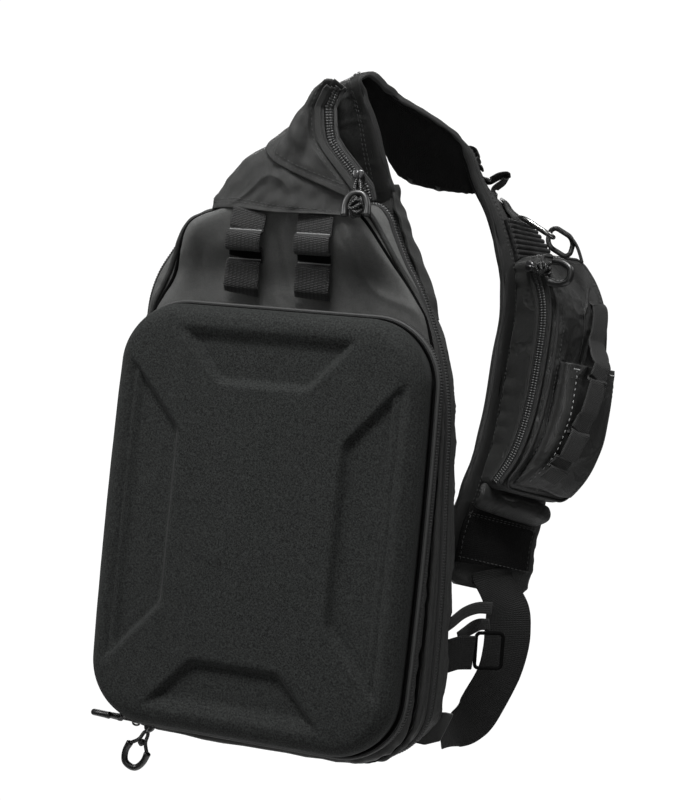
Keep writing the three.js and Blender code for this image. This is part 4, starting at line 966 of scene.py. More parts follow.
def back_cup():
    """Rings from the lip to the middle of the back, then the pad less its channels, along their normals."""
    rings = [ring_at(outline(0, 0), lambda z: zip_depth(z) + ZIP_HALF), ring_at(outline(0, 0), -10),
             ring_at(outline(0, 2.7), -3), ring_at(outline(0, 9), 0)]
    panel = outline(0, 9)
    middle = np.array([[0, TALL / 2]])
    rings += [ring_at(middle + (panel - middle) * s, 0) for s in (0.9, 0.75, 0.6, 0.45, 0.3, 0.15, 0.02)]
    points = smooth_stack(rings, 170)
    away = facing(points, 10, RING // 5, (1, 0, 0))
    x, y, z = np.moveaxis(points, -1, 0)
    row = np.linspace(0, 10, len(points))[:, None]
    pad = soft((row - 3.2) / 1.2)
    channel = np.exp(-((np.abs(x) - 38) / 5) ** 2) + np.exp(-((z - 215) / 5) ** 2)
    height = pad * (3.2 - 3.4 * np.minimum(channel, 1)) + 0.5 * ripple(x, z, 40, 21) * np.clip(row, 0, 1)
    puckers = 0.8 * crease(z + x, 3 * y, 30, 22, 1, 2) + 0.5 * ripple(z + x, y, 24, 23)
    height += (1 - pad) * np.clip(row * 2, 0, 1) * puckers
    return points + away * height[..., None], away, np.broadcast_to(row > PAD_FROM, points.shape[:2])


back_points, back_away, is_mesh = back_cup()
cup_piece("body_back_cloth", back_points, back_away, CLOTH_WALL, [cloth, back_mesh], "bag_cloth", "body_back",
          is_mesh)
bound = int(PAD_FROM * 17)  # 17 rows a ring
cord("back_binding", back_points[bound] + back_away[bound] * 0.5, 1.7, binding, "bag_cloth", closed=True)
tell("With the back cup")

# %% The main zip
def zip_ring(inset, shift):
    """The body's outline, moved in, at a distance behind the zip's plane."""
    return ring_at(outline(0.05, inset), lambda z: zip_depth(z) + shift)


band("main_tape", [zip_ring(0.6, -5), zip_ring(0.3, 0), zip_ring(0.6, 5), zip_ring(2.4, 5), zip_ring(2.4, 0),
                   zip_ring(2.4, -5)], tape, "zip_tape", "main_zip_tape")
away = zip_ring(0, 0) - zip_ring(5, 0)
away /= np.linalg.norm(away, axis=1, keepdims=True)
ring_coil("main_coil", zip_ring(0.35, 0), np.broadcast_to([0, 1.0, 0], (RING, 3)), away, width=5.2, height=1.8)
tell("With the main zip")

# %% [markdown]
# ## The shoulder strap
# The strap is a band of foam between woven cloth and spacer mesh, bound along both edges. Its path is a
# table of its front edge and of the way that its width points, so any place on it is a row number, a
# distance across, and a height over its middle. All that is sewn on the strap uses the same function.

# %% The strap's own coordinates
STRAP = np.array([  # edge as shares of reach, sway and crown; share of the width; its turn and dip in degrees
    (0.508, -0.19, 0.8185, 1.4, 180, 0), (0.497, -0.28, 0.84, 1.34, 176, 0), (0.462, -0.43, 0.879, 1.16, 168, 0),
    (0.424, -0.57, 0.927, 1.02, 156, 2), (0.375, -0.68, 0.966, 1, 135, -3), (0.355, -0.75, 0.992, 1, 122, 3),
    (0.4, -0.68, 0.999, 1, 114, 16), (0.46, -0.54, 0.984, 1, 107, 30), (0.52, -0.36, 0.97, 1, 104, 40),
    (0.597, -0.18, 0.957, 1, 101, 39), (0.676, 0.03, 0.942, 1, 99, 34), (0.757, 0.25, 0.924, 1, 99, 27),
    (0.8, 0.43, 0.9, 1, 99, 18), (0.843, 0.58, 0.86, 1, 97, 11), (0.915, 0.75, 0.809, 1, 88, 5),
    (0.976, 0.89, 0.74, 1, 76, 2), (1, 0.965, 0.68, 1, 71, 4), (0.973, 1, 0.6, 1, 68, 7),
    (0.945, 0.965, 0.514, 1, 65, 10), (0.912, 0.89, 0.447, 1, 61, 12), (0.857, 0.785, 0.381, 1, 55, 13),
    (0.815, 0.68, 0.335, 1, 52, 13), (0.8, 0.62, 0.295, 1, 50, 13), (0.81, 0.64, 0.262, 0.93, 50, 13),
    (0.86, 0.76, 0.238, 0.72, 50, 13)])
REACH, SWAY, CROWN_HEIGHT, STRAP_WIDTH, STRAP_THICK = 132, 56, 480, 82, 10
FACE = STRAP_THICK / 2 + 0.3
STRAP_ROWS, STRAP_COLUMNS, STRAP_STEP = 420, 40, 2.05  # rows and columns of its grid, and mm between rows
WEB_THICK = 1.6


def strap_frame(row):
    """At a row: front edge, way across, width, way out of the face, way along. Out = along x across."""
    def at(row):
        value = through(STRAP[:, 3:] * [STRAP_WIDTH, 1, 1], row)
        turn, dip = np.radians(value[..., 1]), np.radians(value[..., 2])
        across = np.stack([np.cos(turn) * np.cos(dip), np.sin(turn) * np.cos(dip), -np.sin(dip)], -1)
        return through(STRAP[:, :3] * [REACH, SWAY, CROWN_HEIGHT], row), across, value[..., 0]
    row = np.asarray(row, float)
    edge, across, width = at(row)
    ends = [at(np.clip(row + step, 0, len(STRAP) - 1)) for step in (0.3, -0.3)]
    ahead = np.subtract(*[e + a * w[..., None] / 2 for e, a, w in ends])
    out = np.cross(ahead, across)
    out /= np.linalg.norm(out, axis=-1, keepdims=True)
    return edge, across, width, out, np.cross(across, out)


def on_strap(row, across, out):
    """Front edge + across times the way across + out times the way out."""
    edge, side, _, up, _ = strap_frame(row)
    return edge + side * np.asarray(across, float)[..., None] + up * np.asarray(out, float)[..., None]


# %% The strap
def strap_grid():
    """Half thickness = a plateau that falls to the bound edges, over the width; both faces of it."""
    rows = np.linspace(0, len(STRAP) - 1, STRAP_ROWS)
    width = strap_frame(rows)[2]
    share = np.linspace(0, 1, STRAP_COLUMNS)
    share = share + 0.06 * np.sin(2 * np.pi * share) / np.pi
    u, s = np.meshgrid(np.arange(STRAP_ROWS) * STRAP_STEP, share, indexing="ij")
    across = s * width[:, None]
    rim = np.minimum(across, width[:, None] - across)
    half = 2.1 + (STRAP_THICK / 2 - 2.1) * np.sqrt(np.clip(1 - (1 - np.clip(rim / 15, 0, 1)) ** 2, 0, 1))
    bend = np.clip(1 - np.abs(rows - 6) / 5, 0, 1)[:, None] + 0.35
    inside = np.clip(rim / 10, 0, 1)
    outer = half + inside * bend * (0.9 * ripple(u, across, 46, 31) + 0.7 * crease(u, across, 44, 32, 2.2, 2.0))
    inner = -half - inside * bend * 0.6 * ripple(u, across, 40, 33)
    place = np.broadcast_to(rows[:, None], across.shape)
    top, low = on_strap(place, across, outer), on_strap(place, across, inner)
    return np.concatenate([top, low[:, ::-1]], 1), rows, width


strap_points, strap_rows, strap_width = strap_grid()
under = np.broadcast_to(np.arange(2 * STRAP_COLUMNS) >= STRAP_COLUMNS, (STRAP_ROWS, 2 * STRAP_COLUMNS))
strap = grid_piece("shoulder_strap_pad", strap_points, [strap_cloth, spacer], "spacer_mesh", "shoulder_strap",
                   (False, True), True, under)
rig.padded(strap, fill=0.8)

# %% Its bound edges
for name, side in (("strap_binding_front", 0), ("strap_binding_back", 1)):
    across = side * strap_width
    sign = 1 if side == 0 else -1
    hem = np.array([(7, 3.9), (3, 3.1), (0, 2.6), (-0.9, 1.4), (-1.1, 0), (-0.9, -1.4), (0, -2.6), (3, -3.1),
                    (7, -3.9), (7, -2.5), (3, 0), (7, 2.5)])
    wave = ripple(np.arange(float(STRAP_ROWS)) * STRAP_STEP, 0 * strap_rows, 22, 34 + side)[:, None]
    grid = on_strap(np.broadcast_to(strap_rows[:, None], (STRAP_ROWS, len(hem))),
                    across[:, None] + sign * (hem[:, 0] - 0.4 * wave),
                    hem[:, 1] * (1 + 0.08 * wave) + 0.3 * np.roll(wave, 4, 0))
    grid_piece(name, grid, binding, "webbing", (), (False, True), True)
tell("With the strap")

# %% [markdown]
# ## The yoke
# Above the hem the cloth wraps from the peak zip round the front and the left to the strap's back edge.
# It is one sheet in two folds: the upper one laps over the lower. The sheet is a function of height and
# of the way round, a curve through five points at each height.

# %% A sheet with a wall
def slab(name, outer, away, wall, paint, slot, nodes=(), hem=(0.0, 0.0)):
    """A sheet, its inner side and its edges. The wall thins to nothing at both ends, where they join,
    and swells by the two hems along the sheet's first and last columns, where the cloth is turned over."""
    rows, columns = outer.shape[:2]
    ends = np.minimum(np.arange(rows), np.arange(rows)[::-1])
    thick = wall * np.clip(ends / 2, 0, 1)[:, None]
    edge = np.arange(columns) / columns
    swelling = hem[0] * np.exp(-(edge / 0.06) ** 2) + hem[1] * np.exp(-(edge[::-1] / 0.06) ** 2)
    outer = outer + away * (swelling * np.clip(ends / 3, 0, 1)[:, None])[..., None]
    grid = np.concatenate([outer, (outer - away * thick[..., None])[:, ::-1]], 1)
    piece = grid_piece(name, grid, paint, slot, nodes, (False, True))
    weld(piece)
    return piece


def weld(piece):
    """Joins the points that lie on each other, such as those of a pinched end."""
    bm = bmesh.new()
    bm.from_mesh(piece.data)
    bmesh.ops.remove_doubles(bm, verts=bm.verts, dist=1e-7)
    bm.to_mesh(piece.data)
    bm.free()


# %% The yoke's surface
YOKE_HEM, FOLD_LEFT, FOLD_RIGHT, PEAK = 381, 430, 392, 474
YOKE = np.array([  # share of the peak's height; where the zip runs and where the left side stands
    (0.79, 0.49, -0.56), (0.82, 0.45, -0.515), (0.845, 0.42, -0.465), (0.875, 0.31, -0.37),
    (0.895, 0.235, -0.26), (0.912, 0.185, -0.145), (0.93, 0.165, -0.05), (0.96, 0.15, 0.045),
    (0.985, 0.19, 0.115), (1, 0.245, 0.165)])


def on_yoke(share, z):
    """Share 0 is the zip and share 1 the strap's back edge; z and share are grids of one shape."""
    flat = z.ravel()
    zip_x = np.interp(flat / PEAK, YOKE[:, 0], YOKE[:, 1]) * HALF
    left = np.interp(flat / PEAK, YOKE[:, 0], YOKE[:, 2]) * HALF
    row = np.interp(flat, STRAP[:6, 2] * CROWN_HEIGHT, np.arange(6.0))
    seat = on_strap(row, strap_frame(row)[2] - 8, np.full(len(flat), FACE + 1))
    points = [np.stack([x, 0 * flat + y, flat], 1) for x, y in
              ((zip_x, -50), (zip_x + (left - zip_x) * 0.55, -53), (left + 7, -41), (left, -22.5))] + [seat]
    fine = through(np.array(points), np.linspace(0, 4, 97))
    steps = np.linalg.norm(np.diff(fine, axis=0), axis=2)
    reach = np.concatenate([np.zeros((1, len(flat))), np.cumsum(steps, 0)])
    want = share.ravel() * reach[-1]
    k = np.clip((reach < want).sum(0) - 1, 0, 95)
    pick = np.arange(len(flat))
    low, high = reach[k, pick], reach[k + 1, pick]
    f = ((want - low) / np.maximum(high - low, 1e-9))[:, None]
    return (fine[k, pick] * (1 - f) + fine[k + 1, pick] * f).reshape(z.shape + (3,))


def fold_height(share):
    """The fold rises evenly from the zip, and is level from 0.62 of the way round."""
    return FOLD_RIGHT + (FOLD_LEFT - FOLD_RIGHT) * np.minimum(1, share / 0.62)


def yoke_sheet(bottom, top, lift, seed, bulge=0.0, rows=190, columns=64):
    """Points between two heights on the yoke, lifted, bulged and folded along their normals."""
    share, t = np.meshgrid(np.linspace(0, 1, rows), np.linspace(0, 1, columns), indexing="ij")
    z = bottom(share) * (1 - t) + top(share) * t
    points = on_yoke(share, z)
    away = facing(points, rows // 3, columns // 2, (0, -1, 0), (False, False))
    u, v = share * 190, z
    hems = 0.35 + 0.65 * np.clip(np.minimum(t, 1 - t) * 6, 0, 1)
    inside = np.clip(np.minimum(share, 1 - share) * 12, 0, 1) * hems
    folds = (1.1 * ripple(u, v, 48, seed) + 1.2 * crease(u, v * 0.6, 60, seed + 1, 1.0, 2.0)
             + 0.45 * ripple(u, v, 17, seed + 2))
    height = lift * (1 - 0.8 * t ** 5) + bulge * np.sin(np.pi * share) * np.sin(np.pi * t) + inside * folds
    return points + away * height[..., None], away


lower, lower_away = yoke_sheet(lambda s: YOKE_HEM + 1.6 * np.sin(s * 14) * s,
                               lambda s: fold_height(s) - 0.3, 1.5, 41)
slab("yoke_lower_cloth", lower, lower_away, 1.9, cloth, "bag_cloth", "yoke_lower", hem=(0.8, 0))
upper, upper_away = yoke_sheet(lambda s: fold_height(s) - 1.5, lambda s: PEAK + 0 * s, 1.4, 43, 3.4)
slab("yoke_upper_cloth", upper, upper_away, 1.9, cloth, "bag_cloth", "yoke_upper", hem=(0.9, 0))
tell("With the yoke")

# %% The peak zip
peak_z = np.linspace(FOLD_RIGHT + 0.3, PEAK, 70)
peak_edge = on_yoke(np.zeros(70), peak_z)
peak_side = peak_edge - on_yoke(np.full(70, 0.04), peak_z)
peak_side /= np.linalg.norm(peak_side, axis=1, keepdims=True)
peak_out = np.cross(peak_side, [0, 0, 1.0])
peak_out *= np.sign(peak_out @ [0, -1.0, 0])[:, None]
strip("peak_tape", (peak_edge + peak_side * 7.6)[:68], -peak_side[:68], 13, WEB_THICK, tape, "zip_tape",
      "peak_zip_tape")
low = slice(0, 66)
strip("peak_border", (peak_edge + peak_side * 0.4 + peak_out * 3.0)[low], -peak_side[low], 4.6, 1.5, cloth,
      "bag_cloth")


def facing_coil(name, path, across, out, **sizes):
    """A coil whose dome stands on the side that out points to."""
    turned = (np.cross(np.gradient(path, axis=0), across) * out).sum()
    return zip_coil(name, path, across if turned > 0 else -across, **sizes)


facing_coil("peak_coil", (peak_edge + peak_side * 8.2 + peak_out * 0.9)[low], peak_side[low], peak_out[low],
            width=6.4, height=1.8, pitch=1.9)
for name, shift in (("peak_lip_left", 3.6), ("peak_lip_right", 12.8)):
    strip(name, (peak_edge + peak_side * shift + peak_out * 1.5)[low], -peak_side[low], 2.6, 1.4, binding,
          "webbing", (), 5)

# %% Where the strap runs down behind the zip
root_line = through([(65.5, 405), (67.8, 394), (73.2, 382), (78.5, 369), (87, 351), (97.3, 331.5),
                     (104.2, 312)], np.linspace(0, 6, 80))
root_t, root_y = np.meshgrid(np.linspace(0, 1, 80), np.linspace(-16.5, -2.0, 16), indexing="ij")
root = np.stack([root_line[:, :1] + 0 * root_y, root_y, root_line[:, 1:] + 0 * root_y], -1)
root_away = np.broadcast_to(unit(1.0, 0, 0.35), root.shape)
root_bulge = (np.sin(np.pi * np.linspace(0.06, 0.94, 16))[None] * 1.6
              + 0.6 * ripple(root_t * 95, root_y, 15, 47) - 2.0 * soft(root_t * 3 - 2))
slab("strap_root_edge", root + root_away * root_bulge[..., None], root_away, 2.6, cloth, "bag_cloth")
root_x, root_z = np.meshgrid(np.linspace(-44, 67, 40), np.linspace(401, 376, 12), indexing="ij")
root_face = np.stack([root_x, np.full(root_x.shape, -15.4), root_z], -1)
slab("strap_root_pad", root_face, np.broadcast_to([0, -1.0, 0], root_face.shape), 9.5, cloth, "bag_cloth")
tell("With the peak's zip and the strap's root")

# %% [markdown]
# ## Webbing on the front
# Two strips of webbing run down the panel above the shell. Each is sewn down at bar tacks, and stands off
# between them as loops for clips, with an overhang. Under the upper loop lies a near-black strip: painted shade.

# %% The two webbing strips
MOLLE = np.array([  # height as a share of the panel above the shell; how far it stands off
    (0.885, 0), (0.8, 0.03), (0.72, 0), (0.695, 0.1), (0.675, 0.75), (0.61, 1.05), (0.55, 1.1),
    (0.522, 0.95), (0.517, 0.6), (0.535, 0.2), (0.525, -0.1), (0.49, -0.15), (0.45, -0.1), (0.425, 0.02),
    (0.405, 0.55), (0.36, 0.9), (0.27, 1), (0.19, 0.85), (0.135, 0.4), (0.105, 0.15)])


def panel_face(x, z):
    """The panel's depth at a place, by how near that is to the panel's edge."""
    left, right = (np.interp(z / TALL, SIDES[:, 0], SIDES[:, column]) for column in (3, 4))
    edge = np.where(x < 0, left, right)
    share = np.clip(np.maximum(np.abs(x / (edge * HALF)), np.abs(z - TALL / 2) / (TALL / 2)), 0.5, 1)
    return front_depth(z) - swell(z, share)


def molle(name, top, bottom):
    """One strip, and a near-black strip of painted shade under its overhang. Gives the lines of its two bar tacks."""
    t = np.linspace(0, len(MOLLE) - 1, 110)
    row = through(MOLLE, t)
    z = SHELL_TOP + row[:, 0] * (TALL - SHELL_TOP)
    x = bottom + (top - bottom) * row[:, 0]
    y = np.minimum(panel_face(x - 13.5, z), panel_face(x + 13.5, z)) - 4.3 - row[:, 1] * 5
    path = np.stack([x, y, z], 1)
    across = np.broadcast_to([1.0, 0, 0], path.shape)
    strip(name, path, across, 27, WEB_THICK, webbing, "webbing", name.replace("_web", ""), 12)
    # A near-black strip on the flat webbing under the upper loop's overhang: painted shade.
    under = (t > 9.3) & (t < 12.3)
    strip(name + "_shade", (path - [0, 0.55, 0])[under], across[under], 25.6, 1.3, painted_shade, "webbing", (), 8)
    rows = [np.argmin(np.abs(t - place)) for place in (2.6, 12.7)]
    return [np.stack([np.linspace(x[k] - 12, x[k] + 12, 20), np.full(20, y[k] - 1.05), np.full(20, z[k])], 1)
            for k in rows]


tacks = molle("molle_left_web", -26, -38) + molle("molle_right_web", 24, 18)
tell("With the front webbing")

# %% [markdown]
# ## What is sewn on the strap
# From its top down, the strap carries two loops of webbing, a tab, ribbed elastic, a ring, a zipped pocket
# with a smaller one on its face, and a flap and a patch where it ends. Each is placed by a row number and
# a height over the strap's face.

# %% Loops, tab and elastic
def strap_strip(name, rows, width, thickness, height, paint, slot, node, across=0.5, count=40):
    """A strip laid on the strap, at a height that may change along it."""
    row = np.linspace(*rows, count)
    _, side, wide, _, _ = strap_frame(row)
    path = on_strap(row, across * wide, np.broadcast_to(height, count))
    return strip(name, path, side, width, thickness, paint, slot, node, 14)


def strap_loop(name, row, width, reach, span, lift, node):
    """An arch: it lies on the strap, rises steeply, rounds over and comes down."""
    pitch = np.linalg.norm(np.subtract(*on_strap([row + 0.5, row - 0.5], [0, 0], [0, 0])))
    arch = through([(-1, 0), (-0.5, 0.12), (-0.42, 0.7), (0, 1), (0.42, 0.7), (0.5, 0.12), (1, 0)],
                   np.linspace(0, 6, 60))
    place = row + arch[:, 0] * span / pitch
    _, side, wide, _, _ = strap_frame(place)
    path = on_strap(place, wide / 2, FACE + 0.8 + lift + arch[:, 1] * reach)
    strip(name, path, side, width, WEB_THICK, webbing, "webbing", node, 8)


strap_loop("top_loop_web", 11.6, 16, 6, 9, 0.3, "strap_top_loop")
strap_loop("hook_loop_web", 12.9, 16, 15, 10, -0.4, "strap_hook_loop")
strap_strip("ring_tab_cloth", (13.47, 14.1), 26, 2, FACE + 1.6 + 0.25 * np.sin(np.linspace(0, 9, 40)), cloth,
            "bag_cloth", "ring_tab")
RIBS = 8
rib_t = np.linspace(0, 1, RIBS * 14 + 1)
rib_rows = 14.15 + 0.85 * rib_t
rib = np.abs(np.sin(np.pi * RIBS * rib_t)) ** 0.6
rib_section = np.array([(-28, 0), (-28, 0.6), (-27.6, 0.93), (-26.5, 1)] + [(x, 1) for x in range(-24, 25, 4)]
                       + [(26.5, 1), (27.6, 0.93), (28, 0.6), (28, 0)])
rib_high = rib_section[None, :, 1] * (3.1 + 1.9 * rib)[:, None]
rib_grid = on_strap(np.broadcast_to(rib_rows[:, None], rib_high.shape),
                    STRAP_WIDTH / 2 + np.broadcast_to(rib_section[:, 0], rib_high.shape), FACE + rib_high)
grid_piece("strap_elastic_ribs", rib_grid, elastic, "webbing", "strap_elastic", (False, True), True)
tell("With loops, tab and elastic")

# %% Ring, its cord loop and the webbing that holds the loop
def soft_rectangle(width, height, corner, count):
    """Quarter circles at the corners and straight sides between, as points at equal distances."""
    turn = np.linspace(0, np.pi / 2, 12)
    arcs = [np.stack([i * (width / 2 - corner) + corner * np.cos(turn + quarter * np.pi / 2),
                      j * (height / 2 - corner) + corner * np.sin(turn + quarter * np.pi / 2)], 1)
            for quarter, (i, j) in enumerate(((1, 1), (-1, 1), (-1, -1), (1, -1)))]
    return evenly(np.concatenate(arcs), count, closed=True)


ring_reach = unit(0.88, -0.05, -0.47)
ring_across = np.array([np.cos(np.radians(108)), np.sin(np.radians(108)), 0])
ring_foot = on_strap(14.1, strap_frame(14.1)[2] * 0.42, FACE + 5 + 0.5 + 1.7)
ring = soft_rectangle(30, 26, 9, 72)
cord("d_ring_wire", ring_foot + ring_reach * 15 + ring[:, :1] * ring_reach + ring[:, 1:] * ring_across, 1.7,
     nickel, "ring_metal", "d_ring", 14, True)
loop_centre = ring_foot + ring_reach * (30 + 10 - 3.0 - 0.3)
loop = soft_rectangle(20, 15, 6, 60)
loop_up = unit(0.2, 0.1, 0.97)
cord("ring_loop_cord", loop_centre + loop[:, :1] * np.array([0.88, 0, -0.47]) + loop[:, 1:] * loop_up, 1.9,
     pocket_cloth, "cord", "ring_loop", 10, True)
t = np.linspace(0, 1, 30)[:, None]
keeper = loop_centre + unit(0.88, 0, -0.47) * (4 + 17 * t) + loop_up * (7.5 - 12 * t + 3 * np.sin(np.pi * t))
strip("ring_keeper", keeper, np.broadcast_to(ring_across, keeper.shape), 11, 1.8, webbing, "webbing", (), 6)
tell("With the ring and its loop")

# %% [markdown]
# ## The pocket on the strap
# It is a box of cloth with a zip down the side that faces forwards. Its wall is gathered where it is sewn to
# the strap, and its face is slack. As a surface, it is a stack of rounded rectangles that rises from the
# strap, rolls over the edge and closes over the face. The box bends with the strap, because each point is
# placed in the strap's coordinates.

# %% The pocket's cloth
POCKET_LONG, POCKET_WIDE, POCKET_DEEP, POCKET_CORNER, POCKET_ROWS = 175, 68, 42, 9, (15.0, 19.72)
POCKET_FROM_EDGE, POCKET_RINGS = 8, 110
POCKET_DEPTHS = through([(0, 0.5), (0.12, 0.72), (0.3, 0.94), (0.5, 1), (0.8, 0.92), (1, 0.6)],
                        np.linspace(0, 5, 101))


def pocket_depth(along):
    """The pocket's depth by the share of its length."""
    return np.interp(along, POCKET_DEPTHS[:, 0], POCKET_DEPTHS[:, 1]) * POCKET_DEEP


def on_pocket(along, across, height):
    """Height 0 is the strap and 1 the pocket's face, whose depth changes along it."""
    row = POCKET_ROWS[0] + (POCKET_ROWS[1] - POCKET_ROWS[0]) * along
    return on_strap(row, POCKET_FROM_EDGE + across, FACE + 0.8 + pocket_depth(along) * height)


def pocket_share(row):
    """The share of the pocket's length at a row of the strap."""
    return (np.asarray(row, float) - POCKET_ROWS[0]) / (POCKET_ROWS[1] - POCKET_ROWS[0])


POCKET_SECTION = [(33, 0.03), (18, 0.03), (1.2, 0.02), (0, 0.05), (-0.7, 0.25), (-0.9, 0.45), (-0.5, 0.66),
                  (0.5, 0.84), (2.2, 0.955), (4.6, 0.995), (8, 1.0), (14, 1.0), (20, 1.0), (27, 1.0), (33, 1.0)]
section = through(POCKET_SECTION, np.linspace(0, len(POCKET_SECTION) - 1, POCKET_RINGS))
rings = np.array([soft_rectangle(POCKET_WIDE - 2 * inset, POCKET_LONG - 2 * inset,
                                 min(max(POCKET_CORNER - 0.6 * inset, 3), 33.9 - inset), 360)
                  for inset, _ in section])
along, across = 0.5 - rings[..., 1] / POCKET_LONG, rings[..., 0] + POCKET_WIDE / 2
high = np.broadcast_to(section[:, 1:2], along.shape)
pocket_points = on_pocket(along, across, high)
pocket_away = facing(pocket_points, -10, 0, strap_frame(17.0)[3])
u, v = along * POCKET_LONG, across + high * pocket_depth(along)
wall_part = soft((1.2 - np.abs(section[:, 0])) / 1.2)[:, None] * soft(np.arange(POCKET_RINGS) / 25)[:, None]
face_part = soft((section[:, 0] - 1) / 8)[:, None] * (np.arange(POCKET_RINGS) > 50)[:, None]
pucker = np.abs(np.sin(u / 5.2 + 1.5 * np.sin(u / 17))) * np.exp(-((high - 0.12) / 0.34) ** 2)
slack = 1.5 * ripple(u, v, 50, 51) + 1.6 * crease(u, v, 56, 52, 0.6, 2.2) + 0.7 * crease(u, v, 24, 53, 1.8, 2.6)
pocket_points = pocket_points + pocket_away * (wall_part * (1.1 * pucker + 0.5 * ripple(u, high * 40, 22, 54))
                                               + face_part * slack * 0.8)[..., None]
grid_piece("strap_pocket_cloth", pocket_points, pocket_cloth, "bag_cloth", "strap_pocket", (False, True), True)
edge_ring = int(np.argmin(np.abs(section[:, 0] - 2.2) + (np.arange(POCKET_RINGS) < 50) * 99))
cord("pocket_piping", pocket_points[edge_ring] + pocket_away[edge_ring] * 0.5, 1.25, binding, "webbing", (),
     8, True)
pocket_seam = int(np.argmin(np.abs(section[:, 0] - 5.6) + (np.arange(POCKET_RINGS) < 50) * 99))

# %% The pocket's zip
row = np.linspace(15.3, 19.6, 90)
_, side, _, out, _ = strap_frame(row)
depth = pocket_depth(pocket_share(row))
tape_path = on_strap(row, POCKET_FROM_EDGE - 1.25 + 0 * row, FACE + depth * 0.714)
strip("pocket_tape", tape_path, out, 11, 1.2, tape, "zip_tape", "pocket_zip_tape", 8)
facing_coil("pocket_coil", tape_path - side * 0.7, out, -side, width=6.4, height=1.5, pitch=1.9)
for name, shift in (("pocket_tape_lip_low", -5.6), ("pocket_tape_lip_high", 5.6)):
    strip(name, tape_path - side * 0.6 + out * shift, out, 3.2, 1.3, binding, "webbing", (), 5)
tell("With the pocket and its zip")

# %% The small pocket on its face
small_rows, small_across = 64, 76
a, t = np.meshgrid(np.linspace(0, 1, small_rows), np.linspace(0, 1, small_across), indexing="ij")
arch = through([(0, 0), (0.03, 0.7), (0.12, 0.95), (0.5, 1), (0.88, 0.95), (0.97, 0.7), (1, 0)],
               np.linspace(0, 6, 200))
rise = np.interp(a, arch[:, 0], arch[:, 1])
row = 16.95 + 2.6 * t
stand = 12 * np.sqrt(np.clip(1 - (t - 0.35) ** 2 / 0.43, 0.02, 1)) + 2
base = FACE + pocket_depth(pocket_share(row)) + 0.9
small = on_strap(row, 14 + a * 60, base + rise * stand)
small_away = facing(small, 30, 30, strap_frame(18.0)[3], (False, False))
middle = np.clip(np.minimum(a, 1 - a) * 5, 0, 1)
small_folds = (1.0 * ripple(a * 60, t * 92, 34, 61) + 1.5 * crease(a * 60, t * 92, 44, 62, 1.4, 2.2)
               - 1.6 * np.exp(-(t / 0.13) ** 2))
small = small + small_away * (middle * small_folds)[..., None]
slab("small_pocket_cloth", small, small_away, 2, pocket_cloth, "bag_cloth", "small_pocket", hem=(0.9, 0))

# %% The webbing over it
WEB_ROWS = np.array([  # share of the way down; share of the strap's width; how far it stands off
    (0, 0.76, 0), (0.06, 0.74, 0.7), (0.18, 0.66, 0.7), (0.28, 0.56, 0.1), (0.36, 0.51, 0.1), (0.4, 0.49, 0.5),
    (0.52, 0.45, 0.6), (0.6, 0.42, 0.1), (0.66, 0.4, 0.05), (0.7, 0.38, 0.7), (0.82, 0.35, 0.8),
    (0.86, 0.34, 0.1), (0.89, 0.335, 0.1), (0.93, 0.33, 0.7), (1, 0.32, 0.2)])
web = through(WEB_ROWS, np.linspace(0, len(WEB_ROWS) - 1, 170))
row = 15.9 + 3.45 * web[:, 0]
base = FACE + pocket_depth(pocket_share(row)) + 16 * soft((row - 16.45) / 0.5) + 1.4
_, side, _, out, _ = strap_frame(row)
web_path = on_strap(row, web[:, 1] * STRAP_WIDTH, base + web[:, 2] * 4)
strip("pocket_web", web_path, side, 20, WEB_THICK, webbing, "webbing", "pocket_webbing", 10)
tell("With the small pocket and its webbing")

# %% Flap and patch
t = np.linspace(0, 1, 40)
strap_strip("end_flap_cloth", (19.76, 20.38), 73 - 6 * (2 * t - 1) ** 4, 3.6,
            FACE + 8 + 3 * np.sin(np.pi * t) - 5.5 * t ** 2, pocket_cloth, "bag_cloth", "strap_end_flap")
row = np.full(60, 19.8)
roll = on_strap(row + 0.07, np.linspace(5.5, 73, 60),
                FACE + 8.8 + 0.5 * ripple(np.arange(60) * 1.3, np.arange(60) * 0.0, 26, 71))
cord("end_flap_roll", roll, 3.2 * np.sin(np.pi * np.linspace(0.01, 0.99, 60)) ** 0.4, pocket_cloth,
     "bag_cloth", (), 12)
# The patch takes the darker copy of the webbing: painted shade under the flap.
strap_strip("end_patch_web", (20.45, 22.3), 68, 3, FACE + 1.5 + 0.3 * np.sin(np.linspace(0, 12, 40)), patch_web_painted_shade,
            "webbing", "strap_end_patch")
tell("With the flap and the patch")

# %% [markdown]
# ## Webbing down to the corner, and the stabiliser
# Wide webbing leaves the strap's end under the patch, turns inwards and meets the bag's lower corner. A
# short band with a buckle and two narrow ribbons steadies it. Each is given by its front edge and by the
# way that its width points.

# %% Ribbons by their front edge
def edge_ribbon(name, rows, width, paint, node, count=120, columns=14):
    """Path = front edge + half the width along the way across, which turns and dips row by row."""
    t = np.linspace(0, len(rows) - 1, count)
    edge = through(np.array(rows)[:, :3] * [HALF, SWAY, TALL], t)
    turn, dip = np.radians(through(np.array(rows)[:, 3:], t)).T
    side = np.stack([np.cos(turn) * np.cos(dip), np.sin(turn) * np.cos(dip), -np.sin(dip)], 1)
    return strip(name, edge + side * width / 2, side, width, WEB_THICK, paint, "webbing", node, columns)


def strap_exit(row, out):
    """A row of a ribbon's table that lies on the strap."""
    return (*(on_strap(row, 22, FACE + out) / [HALF, SWAY, TALL]), 50, 13)


